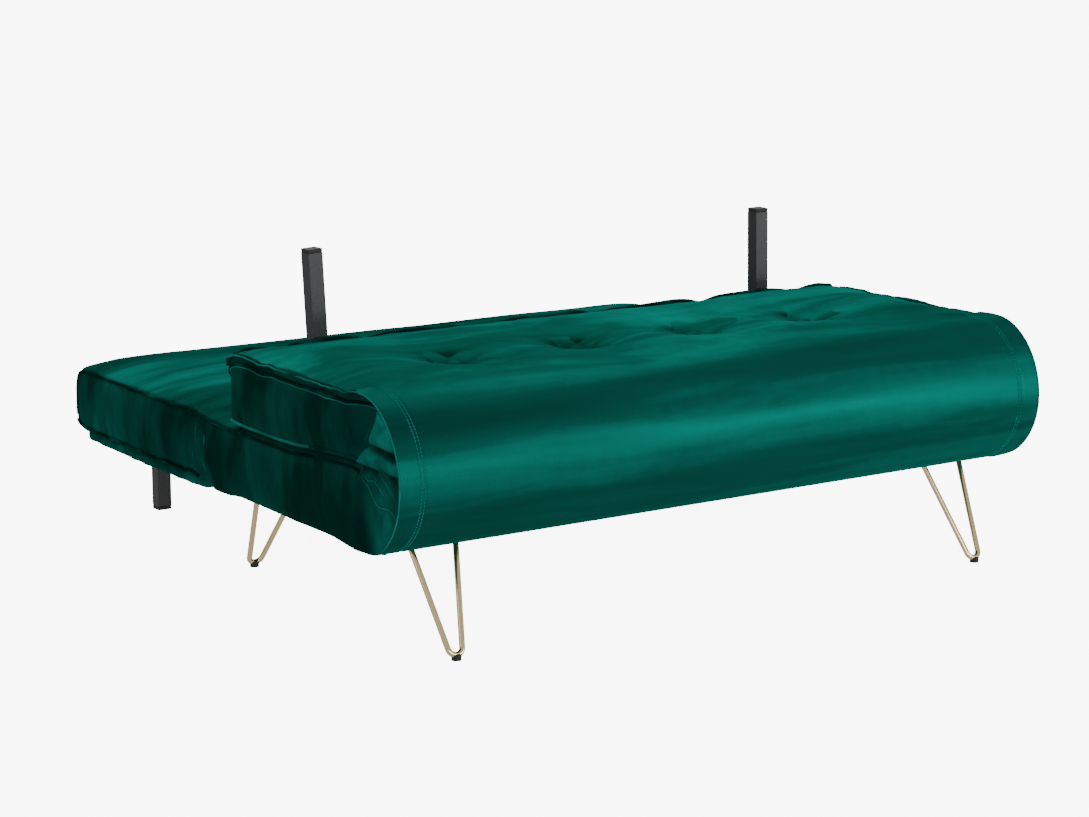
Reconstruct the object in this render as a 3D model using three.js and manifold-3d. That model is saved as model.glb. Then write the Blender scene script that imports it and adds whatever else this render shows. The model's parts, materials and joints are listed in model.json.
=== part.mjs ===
// A two-seat futon sofa bed: a base on hairpin legs, a section that folds out over the front,
// and a back section that lies flat or rises to make the backrest.
// Millimetres, +Z up, X along the width, the front of the sofa towards -Y, the floor at Z = 0.
// While it is drawn, Y is counted backwards from the fold-out hinge's axis; the last lines centre it.
import * as THREE from "three";
import { mergeVertices } from "three/addons/utils/BufferGeometryUtils.js";
import ManifoldModule from "manifold-3d";

// ---- Driving sizes ----
const WIDTH = 1200; // overall width of all three sections
const UNDERSIDE = 152; // floor to the underside of the base
const BASE_THICK = 109.5; // thickness of the base cushion
const FLIP_THICK = 115.5; // thickness of the fold-out section, both pads together
const FOLD_GAP = 9; // between the base and the fold-out section lying on it
const BASE_DEPTH = 622; // hinge axis to the back of the base cushion
const FLIP_SHORT = 93; // the fold-out section stops this far before the back of the base
const BACK_LENGTH = 478; // back section, front to back when it lies flat
const BACK_RISE = 10.5; // the back section's top stands this far above the base's
const BACK_PAD_THICK = 13.7; // padding on the back section's underside
const NOSE_RUN = 105; // how far back the rounded front starts
const TUBE = 25; // side of the square steel tube, rails and legs alike
const TUBE_WALL = 1.5;
const PLATE = 4; // thickness of the recline plates and leg brackets
const ROD_R = 4.5; // radius of the hairpin rod
const HAIRPIN_HALF_SPREAD = 38; // half the distance between a hairpin's two ends
const HAIRPIN_BEND_R = 12; // bend radius at the foot, on the rod's centre line
const HAIRPIN_FOOT_IN = 104.5; // centre of each foot from the end of the width
const HAIRPIN_TOP_IN = 113; // centre of each hairpin's two upper ends, from the same end
const HAIRPIN_FOOT_INSET = 19; // front feet behind the hinge axis, and the back ones past the base
const HAIRPIN_TOP_INSET = 96; // front hairpins' upper ends behind the hinge axis
const LEG_IN = 163; // support legs of the fold-out section, from the ends of the width
const LEG_SHIFT = 15; // the pair of support legs sits this far to the right
const LEG_TIP_CLEAR = 5; // a support leg's tip above the floor once it stands unfolded
const BACK_LEG_IN = 153; // legs of the back section, from the ends of the width
const LEG_PIVOT_UP = 39; // support leg bolt above the fold-out hinge's axis
const LEG_REST_LEAN_LEFT = 3; // degrees, top towards -X
const LEG_REST_LEAN_RIGHT = 1;
const RECLINE_BACK = 36; // recline pivot in front of the back section
const RECLINE_DOWN = 26.5; // recline pivot below the base's top
const BUTTON_PITCH = 225;
const BUTTON_COUNT = 4;
const BUTTON_Y = 277; // row of buttons behind the hinge axis
const BUTTON_R = 14;
const FLIP_HINGE_IN = 180; // fold-out hinges from the ends of the width
const FLIP_HINGE_WIDTH = 40;

// ---- Fits ----
const GAP = 0.3; // between pieces that touch
const RUN = 0.08; // radial play of a pin in its bore
const NOSE_CLEAR = 1; // cushion fronts behind the fold-out hinge's axis
const SWING = 2; // beside anything that swings past

// ---- Heights and lines that follow from them ----
const HALF = WIDTH / 2;
const BASE_TOP = UNDERSIDE + BASE_THICK;
const HINGE_Z = BASE_TOP + FOLD_GAP / 2;
const FLIP_BOTTOM = BASE_TOP + FOLD_GAP;
const FLIP_TOP = FLIP_BOTTOM + FLIP_THICK;
const FLIP_DEPTH = BASE_DEPTH - FLIP_SHORT;
const BACK_START = BASE_DEPTH + 8;
const BACK_END = BACK_START + BACK_LENGTH;
const BACK_TOP = BASE_TOP + BACK_RISE;
const PIVOT_Y = BACK_START - RECLINE_BACK;
const PIVOT_Z = BASE_TOP - RECLINE_DOWN;
const HAIRPIN_TOP_X = HALF - HAIRPIN_TOP_IN;
const HAIRPIN_FOOT_X = HALF - HAIRPIN_FOOT_IN;
const FLIP_HINGE_X = HALF - FLIP_HINGE_IN;
const BACK_LEG_X = HALF - BACK_LEG_IN;
const legX = (side) => LEG_SHIFT + side * (HALF - LEG_IN);
const RAIL_LIFT = 5; // frame rails above the underside of their section
const RAIL_OUT = HALF - 55; // outer face of the side rails
const RAIL_FRONT = 126; // front rails behind the hinge axis
const POCKET = 5; // clear space round a frame inside its cushion
const DECK = 4;
const BASE_MID = BASE_DEPTH / 2 + HAIRPIN_FOOT_INSET; // the hairpins mirror about this line
const mirrorY = (y, end) => (end > 0 ? 2 * BASE_MID - y : y);

const wasm = await ManifoldModule();
wasm.setup();

// ---- Geometry helpers ----
function solidOf(geometry) {
  const bare = geometry.clone();
  bare.deleteAttribute("normal");
  bare.deleteAttribute("uv");
  const merged = mergeVertices(bare, 1e-4);
  return new wasm.Manifold(
    new wasm.Mesh({
      numProp: 3,
      vertProperties: new Float32Array(merged.attributes.position.array),
      triVerts: new Uint32Array(merged.index.array),
    }),
  );
}

function geometryOf(solid) {
  const mesh = solid.getMesh();
  const geometry = new THREE.BufferGeometry();
  geometry.setAttribute("position", new THREE.BufferAttribute(mesh.vertProperties, 3));
  geometry.setIndex(new THREE.BufferAttribute(mesh.triVerts, 1));
  geometry.computeVertexNormals();
  return geometry;
}

const join = (first, ...rest) => rest.reduce((sum, one) => sum.add(one), first);
const cut = (first, ...rest) => rest.reduce((sum, one) => sum.subtract(one), first);

function box([x0, x1], [y0, y1], [z0, z1]) {
  const geometry = new THREE.BoxGeometry(x1 - x0, y1 - y0, z1 - z0);
  geometry.translate((x0 + x1) / 2, (y0 + y1) / 2, (z0 + z1) / 2);
  return solidOf(geometry);
}

// A closed (y, z) outline pushed along X.
function slab(outline, [x0, x1]) {
  const shape = new THREE.Shape(outline.map(([y, z]) => new THREE.Vector2(y, z)));
  const geometry = new THREE.ExtrudeGeometry(shape, { depth: x1 - x0, bevelEnabled: false });
  const axes = new THREE.Matrix4();
  axes.makeBasis(new THREE.Vector3(0, 1, 0), new THREE.Vector3(0, 0, 1), new THREE.Vector3(1, 0, 0));
  geometry.applyMatrix4(axes);
  geometry.translate(x0, 0, 0);
  return solidOf(geometry);
}

// A round bar from one point to another.
function bar(from, to, radius, sides = 24) {
  const start = new THREE.Vector3(...from);
  const along = new THREE.Vector3(...to).sub(start);
  const geometry = new THREE.CylinderGeometry(radius, radius, along.length(), sides);
  geometry.translate(0, along.length() / 2, 0);
  const turn = new THREE.Quaternion();
  turn.setFromUnitVectors(new THREE.Vector3(0, 1, 0), along.clone().normalize());
  geometry.applyQuaternion(turn);
  geometry.translate(start.x, start.y, start.z);
  return solidOf(geometry);
}

// Square tube with open ends, along X, Y or Z.
function tube(ranges, axis) {
  const inner = ranges.map(([low, high], i) =>
    i === axis ? [low - 1, high + 1] : [low + TUBE_WALL, high - TUBE_WALL],
  );
  return cut(box(...ranges), box(...inner));
}

// Points of an arc in the (y, z) plane, angles in degrees from +Y towards +Z.
function arc([y, z], [ry, rz], from, to, steps) {
  const points = [];
  for (let i = 0; i <= steps; i++) {
    const angle = THREE.MathUtils.degToRad(from + ((to - from) * i) / steps);
    points.push([y + ry * Math.cos(angle), z + rz * Math.sin(angle)]);
  }
  return points;
}

// Both ends of a range in X, mirrored to the left when side is -1.
const across = (side, near, far) => (side > 0 ? [near, far] : [-far, -near]);

// ---- Colours ----
const VELVET = { color: 0x00594d, roughness: 0.85, metalness: 0 };
const BLACK_STEEL = { color: 0x26272b, roughness: 0.45, metalness: 0.6 };
const FRAME_STEEL = { color: 0x3a3b3e, roughness: 0.5, metalness: 0.7 };
const GOLD = { color: 0xd9c69a, roughness: 0.22, metalness: 1 };
const RUBBER = { color: 0x141414, roughness: 0.8, metalness: 0 };
const BOARD = { color: 0xa9885b, roughness: 0.8, metalness: 0 };
const DUST_CLOTH = { color: 0x1b1b1d, roughness: 0.95, metalness: 0 };

const group = new THREE.Group();
group.name = "futon_sofa_bed";

function addNode(name, solid, look) {
  const mesh = new THREE.Mesh(geometryOf(solid), new THREE.MeshStandardMaterial(look));
  mesh.name = name;
  group.add(mesh);
}

const SIDES = [
  ["left", -1],
  ["right", 1],
];

// ---- Frames: four tube rails each, named for their section ----
const railZ = (underside) => [underside + RAIL_LIFT, underside + RAIL_LIFT + TUBE];

function addFrame(section, [front, back], zRange, outer) {
  const full = [-outer, outer];
  addNode(`${section}_rail_front`, tube([full, [front, front + TUBE], zRange], 0), FRAME_STEEL);
  addNode(`${section}_rail_back`, tube([full, [back - TUBE, back], zRange], 0), FRAME_STEEL);
  const between = [front + TUBE + GAP, back - TUBE - GAP];
  for (const [name, side] of SIDES) {
    const x = across(side, outer - TUBE, outer);
    addNode(`${section}_rail_${name}`, tube([x, between, zRange], 1), FRAME_STEEL);
  }
}

const pocketOf = ([front, back], zRange, outer) =>
  box([-outer - POCKET, outer + POCKET], [front - POCKET, back + POCKET], zRange);

// ---- Base: cushion, frame, deck and dust cloth ----
const BASE_FRAME = [RAIL_FRONT, BASE_DEPTH - 82];
const BASE_RAILS = railZ(UNDERSIDE);
const DECK_Z = [BASE_RAILS[1] + GAP, BASE_RAILS[1] + GAP + DECK];
const SLOT_IN = RAIL_OUT - 0.5;
const SLOT_OUT = RAIL_OUT + 3 * PLATE + SWING;
const PLATE_FOOT = 100; // length of a recline plate's foot along its rail
const SLOT_START = BASE_FRAME[1] - PLATE_FOOT - 10;
const BOSS_R = 16;
const LEG_PLATE_Z = [BASE_RAILS[0] - GAP - 3, BASE_RAILS[0] - GAP];
const LEG_PLATE_HALF = 45;
const LEG_PLATE_Y = [HAIRPIN_TOP_INSET - 8, RAIL_FRONT + TUBE - 1];
const SWEEP_R = RECLINE_BACK - SWING; // nothing of the base beyond this, behind the recline pivot

function baseOutline() {
  const dip = Math.acos((BASE_TOP - PIVOT_Z) / SWEEP_R) * THREE.MathUtils.RAD2DEG;
  const reach = Math.acos((BASE_DEPTH - PIVOT_Y) / SWEEP_R) * THREE.MathUtils.RAD2DEG;
  return [
    ...arc([NOSE_RUN, BASE_TOP], [NOSE_RUN - NOSE_CLEAR, BASE_THICK], 180, 270, 14),
    [BASE_DEPTH, UNDERSIDE],
    ...arc([PIVOT_Y, PIVOT_Z], [SWEEP_R, SWEEP_R], reach, 90 - dip, 3),
  ];
}

// Room for a hairpin leg's plate, from the underside up to the rails. end is -1 or 1.
function plateRoom(side, end, zRange) {
  const x = side * HAIRPIN_TOP_X;
  const ys = [LEG_PLATE_Y[0] - 1, LEG_PLATE_Y[1] + 1].map((y) => mirrorY(y, end)).sort((a, b) => a - b);
  return box([x - LEG_PLATE_HALF - 1, x + LEG_PLATE_HALF + 1], ys, zRange);
}

const plateRooms = (zRange) => [-1, 1].flatMap((end) => SIDES.map(([, side]) => plateRoom(side, end, zRange)));

// Room for a fold-out hinge's upright arm, from the frame to the fold.
const armSlot = (x, zRange) =>
  box(
    [x - FLIP_HINGE_WIDTH / 2 - 1, x + FLIP_HINGE_WIDTH / 2 + 1],
    [RAIL_FRONT - POCKET, RAIL_FRONT + 1],
    zRange,
  );

function baseCushion() {
  const slots = SIDES.flatMap(([, side]) => [
    box(across(side, SLOT_IN, SLOT_OUT), [SLOT_START, BASE_DEPTH + 1], [UNDERSIDE - 1, PIVOT_Z + BOSS_R + 3]),
    box(across(side, SLOT_IN, SLOT_OUT), [PIVOT_Y - BOSS_R - 4, BASE_DEPTH + 1], [UNDERSIDE, BASE_TOP + 1]),
    armSlot(side * FLIP_HINGE_X, [UNDERSIDE, BASE_TOP + 1]),
  ]);
  const pocket = pocketOf(BASE_FRAME, [UNDERSIDE - 1, DECK_Z[1] + GAP], RAIL_OUT);
  const rooms = plateRooms([UNDERSIDE - 1, LEG_PLATE_Z[1] + GAP]);
  return cut(slab(baseOutline(), [-HALF, HALF]), pocket, ...slots, ...rooms);
}

addNode("base_cushion", baseCushion(), VELVET);
addFrame("base", BASE_FRAME, BASE_RAILS, RAIL_OUT);
addNode("base_deck", box([-RAIL_OUT, RAIL_OUT], BASE_FRAME, DECK_Z), BOARD);

// ---- Hairpin legs, each with its plate and foot ----
const FOOT_THICK = 3; // rubber under the rod

class Bend extends THREE.Curve {
  constructor(centre, e, d, radius, half) {
    super();
    Object.assign(this, { centre, e, d, radius, half });
  }
  getPoint(t, target = new THREE.Vector3()) {
    const angle = this.half * (2 * t - 1);
    target.copy(this.centre);
    target.addScaledVector(this.e, this.radius * Math.sin(angle));
    return target.addScaledVector(this.d, -this.radius * Math.cos(angle));
  }
}

function ring(radius, sides) {
  const points = [];
  for (let i = 0; i < sides; i++) {
    const angle = (2 * Math.PI * i) / sides;
    points.push(new THREE.Vector2(radius * Math.cos(angle), radius * Math.sin(angle)));
  }
  return new THREE.Shape(points);
}

// One bent rod: two straight ends and the bend at the foot. side and end are -1 or 1.
function hairpin(side, end, radius) {
  const top = new THREE.Vector3(side * HAIRPIN_TOP_X, mirrorY(HAIRPIN_TOP_INSET, end), LEG_PLATE_Z[0]);
  const foot = new THREE.Vector3(side * HAIRPIN_FOOT_X, mirrorY(HAIRPIN_FOOT_INSET, end), FOOT_THICK + ROD_R);
  const d = top.clone().sub(foot).normalize();
  const e = new THREE.Vector3(1, 0, 0).addScaledVector(d, -d.x).normalize();
  const centre = foot.clone().addScaledVector(d, HAIRPIN_BEND_R);
  const rise = top.distanceTo(centre);
  const reach = Math.hypot(rise, HAIRPIN_HALF_SPREAD);
  const tilt = Math.atan2(HAIRPIN_HALF_SPREAD, rise) - Math.asin(HAIRPIN_BEND_R / reach);
  const half = Math.PI / 2 - tilt;
  const bend = new THREE.ExtrudeGeometry(ring(radius, 10), {
    steps: 9,
    bevelEnabled: false,
    extrudePath: new Bend(centre, e, d, HAIRPIN_BEND_R, half),
  });
  const straights = [-1, 1].map((hand) => {
    const start = centre.clone().addScaledVector(e, hand * HAIRPIN_BEND_R * Math.sin(half));
    start.addScaledVector(d, -HAIRPIN_BEND_R * Math.cos(half));
    const way = e.clone().multiplyScalar(hand * Math.sin(tilt)).addScaledVector(d, Math.cos(tilt));
    start.addScaledVector(way, -0.4);
    const finish = start.clone().addScaledVector(way, rise + 30);
    return bar(start.toArray(), finish.toArray(), radius, 10);
  });
  const above = box([-HALF, HALF], [-500, 2000], [LEG_PLATE_Z[0] - GAP, FLIP_TOP]);
  return cut(join(solidOf(bend), ...straights), above);
}

function legPlate(side, end) {
  const x = side * HAIRPIN_TOP_X;
  const ys = LEG_PLATE_Y.map((y) => mirrorY(y, end)).sort((a, b) => a - b);
  const screws = [-1, 1].flatMap((sx) =>
    [ys[0] + 9, ys[1] - 9].map((y) => {
      const at = [x + sx * 0.4 * LEG_PLATE_HALF, y];
      return bar([...at, LEG_PLATE_Z[0] - 2], [...at, LEG_PLATE_Z[0] + 1], 4.5, 8);
    }),
  );
  return join(box([x - LEG_PLATE_HALF, x + LEG_PLATE_HALF], ys, LEG_PLATE_Z), ...screws);
}

function footCap(side, end) {
  const at = [side * HAIRPIN_FOOT_X, mirrorY(HAIRPIN_FOOT_INSET, end)];
  const blank = bar([...at, 0], [...at, FOOT_THICK + ROD_R + 2], ROD_R + 3, 20);
  return cut(blank, hairpin(side, end, ROD_R + GAP));
}

const ENDS = [
  ["front", -1],
  ["back", 1],
];
for (const [endName, end] of ENDS) {
  for (const [name, side] of SIDES) {
    addNode(`hairpin_${endName}_${name}`, hairpin(side, end, ROD_R), GOLD);
    addNode(`leg_plate_${endName}_${name}`, legPlate(side, end), BLACK_STEEL);
    addNode(`foot_cap_${endName}_${name}`, footCap(side, end), RUBBER);
  }
}
const CLOTH_Y = [RAIL_FRONT - 14, mirrorY(RAIL_FRONT - 14, 1)];
const CLOTH_Z = [UNDERSIDE - GAP - 2, UNDERSIDE - GAP];

// The cloth that closes the underside, cut out round the four leg plates.
function dustCloth() {
  return cut(box([-HALF + 25, HALF - 25], CLOTH_Y, CLOTH_Z), ...plateRooms([CLOTH_Z[0] - 1, CLOTH_Z[1] + 1]));
}

addNode("dust_cloth", dustCloth(), DUST_CLOTH);

// ---- Fold-out section: two pads with the frame between them ----
const FLIP_FRAME = [RAIL_FRONT, FLIP_DEPTH - 12];
const FLIP_RAIL_LOW = FLIP_BOTTOM + 47.5;
const FLIP_RAILS = [FLIP_RAIL_LOW, FLIP_RAIL_LOW + TUBE];
const PAD_SPLIT = FLIP_RAILS[1] + 1;
const LEG_PIVOT_Z = HINGE_Z + LEG_PIVOT_UP;
const BRACKET_Y = [FLIP_DEPTH - PLATE + GAP, FLIP_DEPTH + GAP];
const BRACKET_HALF_X = 25;
const BRACKET_HALF_Z = 18;

function flipOutline() {
  return [
    ...arc([NOSE_RUN, FLIP_BOTTOM], [NOSE_RUN - NOSE_CLEAR, FLIP_THICK], 180, 90, 14),
    ...arc([FLIP_DEPTH - 8, FLIP_TOP - 8], [8, 8], 90, 0, 3),
    ...arc([FLIP_DEPTH - 8, FLIP_BOTTOM + 8], [8, 8], 0, -90, 3),
  ].reverse();
}

const everywhere = (zRange) => box([-HALF - 1, HALF + 1], [-10, BACK_END], zRange);
const flipBlock = slab(flipOutline(), [-HALF, HALF]);
const buttonX = (i) => (i - (BUTTON_COUNT - 1) / 2) * BUTTON_PITCH;
const BUTTONS = Array.from({ length: BUTTON_COUNT }, (_, i) => buttonX(i));
const BUTTON_SINK = 14;

function lathe(profile, x, y, z, sides = 16) {
  const points = profile.map(([r, h]) => new THREE.Vector2(r, h));
  const geometry = new THREE.LatheGeometry(points, sides);
  geometry.rotateX(Math.PI / 2);
  geometry.translate(x, y, z);
  return solidOf(geometry);
}

const dimple = (x) =>
  lathe(
    [
      [0, -BUTTON_SINK],
      [BUTTON_R + 1, -BUTTON_SINK],
      [BUTTON_R + 12, 1],
      [0, 1],
    ],
    x,
    BUTTON_Y,
    FLIP_TOP,
  );

const button = (x) =>
  lathe(
    [
      [0, 0],
      [BUTTON_R - 1, 0],
      [BUTTON_R, 2],
      [BUTTON_R - 3, 5],
      [BUTTON_R / 2, 7],
      [0, 8],
    ],
    x,
    BUTTON_Y,
    FLIP_TOP - BUTTON_SINK + GAP,
  );

const bracketRoom = (side) =>
  box(
    [legX(side) - BRACKET_HALF_X - 1, legX(side) + BRACKET_HALF_X + 1],
    [FLIP_FRAME[1] - 1, FLIP_DEPTH + 1],
    [LEG_PIVOT_Z - BRACKET_HALF_Z - 1, LEG_PIVOT_Z + BRACKET_HALF_Z + 1],
  );

function bedPad() {
  const lower = flipBlock.intersect(everywhere([FLIP_BOTTOM - 1, PAD_SPLIT]));
  const pocketY = [FLIP_FRAME[0], FLIP_FRAME[1] - POCKET + 1];
  const pocket = pocketOf(pocketY, [FLIP_RAILS[0] - 1, PAD_SPLIT + 1], RAIL_OUT);
  const rooms = SIDES.map(([, side]) => bracketRoom(side));
  const arms = SIDES.map(([, side]) => armSlot(side * FLIP_HINGE_X, [FLIP_BOTTOM - 1, PAD_SPLIT + 1]));
  return cut(lower, pocket, ...rooms, ...arms);
}

function seatPad() {
  const upper = flipBlock.intersect(everywhere([PAD_SPLIT + GAP, FLIP_TOP + 1]));
  return cut(upper, ...BUTTONS.map(dimple));
}

addNode("flip_bed_pad", bedPad(), VELVET);
addNode("flip_seat_pad", seatPad(), VELVET);
addFrame("flip", FLIP_FRAME, FLIP_RAILS, RAIL_OUT);
BUTTONS.forEach((x, i) => addNode(`tuft_button_${i + 1}`, button(x), VELVET));

// ---- Fold-out hinges: a leaf on each side of the fold, three knuckles on one pin ----
const LEAF = 2.5;
const KNUCKLE_R = 4.2;
const PIN_R = 2;
const ARM_BACK = RAIL_FRONT - GAP;
const ARM_Y = [ARM_BACK - LEAF, ARM_BACK];

// way is -1 for the leaf that is fixed to the base, and 1 for the fold-out section's.
function leaf(x, way, knuckles, armEnd) {
  const wide = [x - FLIP_HINGE_WIDTH / 2, x + FLIP_HINGE_WIDTH / 2];
  const level = [HINGE_Z + way, HINGE_Z + way * (1 + LEAF)].sort((a, b) => a - b);
  const flat = box(wide, [2 * KNUCKLE_R, ARM_BACK], level);
  const tongues = knuckles.map(([x0, x1]) => box([x + x0, x + x1], [0, 2 * KNUCKLE_R + 1], level));
  const barrels = knuckles.map(([x0, x1]) => bar([x + x0, 0, HINGE_Z], [x + x1, 0, HINGE_Z], KNUCKLE_R));
  const arm = box(wide, ARM_Y, [HINGE_Z + way, armEnd].sort((a, b) => a - b));
  return join(flat, arm, ...tongues, ...barrels);
}

const KNUCKLE = FLIP_HINGE_WIDTH / 6;
for (const [name, side] of SIDES) {
  const x = side * FLIP_HINGE_X;
  const outerKnuckles = [
    [-3 * KNUCKLE, -KNUCKLE - GAP],
    [KNUCKLE + GAP, 3 * KNUCKLE],
  ];
  const pin = bar([x - 3 * KNUCKLE + 1, 0, HINGE_Z], [x + 3 * KNUCKLE - 1, 0, HINGE_Z], PIN_R);
  const hole = bar([x - 2 * KNUCKLE, 0, HINGE_Z], [x + 2 * KNUCKLE, 0, HINGE_Z], PIN_R + RUN);
  const lower = join(leaf(x, -1, outerKnuckles, BASE_RAILS[0]), pin);
  const upper = cut(leaf(x, 1, [[-KNUCKLE, KNUCKLE]], FLIP_RAILS[1]), hole);
  addNode(`fold_hinge_base_${name}`, lower, FRAME_STEEL);
  addNode(`fold_hinge_flip_${name}`, upper, FRAME_STEEL);
}

// ---- Support legs of the fold-out section: each folds inwards on a bolt through its bracket ----
const BOLT_R = 5;
const LEG_START = FLIP_DEPTH + SWING + 0.5;
const LEG_Y = [LEG_START, LEG_START + TUBE];
const LEG_BELOW = 15; // leg tube below its bolt
const LEG_REACH = 2 * HINGE_Z - LEG_TIP_CLEAR - LEG_PIVOT_Z; // bolt to the tip
const CAP = 6; // thickness of an end cap outside its tube

function bracket(side) {
  const x = legX(side);
  const xs = [x - BRACKET_HALF_X, x + BRACKET_HALF_X];
  const zs = [LEG_PIVOT_Z - BRACKET_HALF_Z, LEG_PIVOT_Z + BRACKET_HALF_Z];
  const plate = box(xs, BRACKET_Y, zs);
  const block = box(xs, [FLIP_FRAME[1] + GAP, BRACKET_Y[1] - 1], [FLIP_RAILS[0], zs[1]]);
  const bolt = bar([x, BRACKET_Y[0] + 1, LEG_PIVOT_Z], [x, LEG_Y[1] + 2, LEG_PIVOT_Z], BOLT_R);
  const head = bar([x, LEG_Y[1] + GAP, LEG_PIVOT_Z], [x, LEG_Y[1] + 4, LEG_PIVOT_Z], 8, 6);
  return join(plate, block, bolt, head);
}

function endCap([x, y], [low, high], outerEnd) {
  const inner = TUBE / 2 - TUBE_WALL - GAP;
  const skirt = TUBE / 2;
  const plugZ = outerEnd > 0 ? [low - 14, low + 1] : [high - 1, high + 14];
  const plug = box([x - inner, x + inner], [y - inner, y + inner], plugZ);
  return join(box([x - skirt, x + skirt], [y - skirt, y + skirt], [low, high]), plug);
}

function leaned(solid, side, degrees) {
  const geometry = geometryOf(solid);
  geometry.translate(-legX(side), 0, -LEG_PIVOT_Z);
  geometry.rotateY(-THREE.MathUtils.degToRad(degrees));
  geometry.translate(legX(side), 0, LEG_PIVOT_Z);
  return solidOf(geometry);
}

function supportLeg(side) {
  const x = legX(side);
  const z = [LEG_PIVOT_Z - LEG_BELOW, LEG_PIVOT_Z + LEG_REACH - CAP];
  const hole = bar([x, LEG_Y[0] - 1, LEG_PIVOT_Z], [x, LEG_Y[1] + 1, LEG_PIVOT_Z], BOLT_R + RUN);
  return cut(tube([[x - TUBE / 2, x + TUBE / 2], LEG_Y, z], 2), hole);
}

const supportCap = (side) =>
  endCap(
    [legX(side), (LEG_Y[0] + LEG_Y[1]) / 2],
    [LEG_PIVOT_Z + LEG_REACH - CAP + GAP, LEG_PIVOT_Z + LEG_REACH],
    1,
  );

for (const [name, side] of SIDES) {
  const lean = side < 0 ? LEG_REST_LEAN_LEFT : LEG_REST_LEAN_RIGHT;
  addNode(`leg_bracket_${name}`, bracket(side), BLACK_STEEL);
  addNode(`support_leg_${name}`, leaned(supportLeg(side), side, lean), BLACK_STEEL);
  addNode(`support_cap_${name}`, leaned(supportCap(side), side, lean), RUBBER);
}

// ---- Back section: cushion, underside pad, frame and its two legs ----
const BACK_OUTER = RAIL_OUT + PLATE + 2 * GAP - GAP / 2;
const BACK_RAILS = railZ(UNDERSIDE);
const BACK_LEG_Y = [BACK_END - 12 - TUBE, BACK_END - 12];
const BACK_FRAME = [BACK_START + 30, BACK_LEG_Y[0] - GAP];
const BACK_LEG_TOP = BACK_RAILS[1];

function backOutline() {
  return [
    [BACK_START, UNDERSIDE],
    ...arc([BACK_END - 14, UNDERSIDE + 14], [14, 14], -90, 0, 4),
    ...arc([BACK_END - 25, BACK_TOP - 25], [25, 25], 0, 90, 6),
    [BACK_START, BACK_TOP],
  ];
}

function backCushion() {
  const slots = SIDES.map(([, side]) =>
    box(
      across(side, BACK_OUTER - 1, SLOT_OUT),
      [BACK_START - 1, BACK_START + 60 + PLATE_FOOT],
      [UNDERSIDE - 1, PIVOT_Z + BOSS_R + 3],
    ),
  );
  const pocketY = [BACK_FRAME[0], BACK_LEG_Y[1] - POCKET + 1];
  const pocket = pocketOf(pocketY, [UNDERSIDE - 1, BACK_RAILS[1] + 1], BACK_OUTER);
  return cut(slab(backOutline(), [-HALF, HALF]), pocket, ...slots);
}

function backPad() {
  const zs = [UNDERSIDE - GAP - BACK_PAD_THICK, UNDERSIDE - GAP];
  const legRooms = SIDES.map(([, side]) => {
    const x = side * BACK_LEG_X;
    return box(
      [x - TUBE / 2 - 1, x + TUBE / 2 + 1],
      [BACK_LEG_Y[0] - 1, BACK_LEG_Y[1] + 1],
      [zs[0] - 1, zs[1] + 1],
    );
  });
  return cut(box([-HALF + 15, HALF - 15], [BACK_START + 10, BACK_END - 4], zs), ...legRooms);
}

addNode("back_cushion", backCushion(), VELVET);
addNode("back_underside_pad", backPad(), VELVET);
addFrame("back", BACK_FRAME, BACK_RAILS, BACK_OUTER);

for (const [name, side] of SIDES) {
  const x = side * BACK_LEG_X;
  const xs = [x - TUBE / 2, x + TUBE / 2];
  addNode(`back_leg_${name}`, tube([xs, BACK_LEG_Y, [CAP, BACK_LEG_TOP]], 2), BLACK_STEEL);
  const middle = (BACK_LEG_Y[0] + BACK_LEG_Y[1]) / 2;
  addNode(`back_leg_cap_${name}`, endCap([x, middle], [0, CAP - GAP], -1), RUBBER);
}

// ---- Recline plates: one on the base frame with the pivot stud, one on the back frame ----
const STUD_R = 6;
const FIXED_X = [RAIL_OUT + GAP, RAIL_OUT + GAP + PLATE];
const MOVING_X = [BACK_OUTER + GAP, BACK_OUTER + GAP + PLATE];

// A flat arm from the pivot's boss to a foot along a side rail.
function reclineArm(side, xRange, footY) {
  const xs = across(side, ...xRange);
  const footZ = [BASE_RAILS[0] + 1, BASE_RAILS[1] - 1];
  const foot = box(xs, footY, footZ);
  const boss = bar([xs[0], PIVOT_Y, PIVOT_Z], [xs[1], PIVOT_Y, PIVOT_Z], BOSS_R);
  const near = Math.abs(footY[0] - PIVOT_Y) < Math.abs(footY[1] - PIVOT_Y) ? footY[0] : footY[1];
  const inward = near === footY[0] ? 1 : -1;
  const start = new THREE.Vector2(PIVOT_Y, PIVOT_Z);
  const finish = new THREE.Vector2(near + inward * 14, (footZ[0] + footZ[1]) / 2);
  const half = finish.clone().sub(start).normalize().multiplyScalar(10);
  const corners = [
    [start.x - half.y, start.y + half.x],
    [start.x + half.y, start.y - half.x],
    [finish.x + half.y, finish.y - half.x],
    [finish.x - half.y, finish.y + half.x],
  ];
  return join(foot, boss, slab(corners, xs));
}

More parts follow.
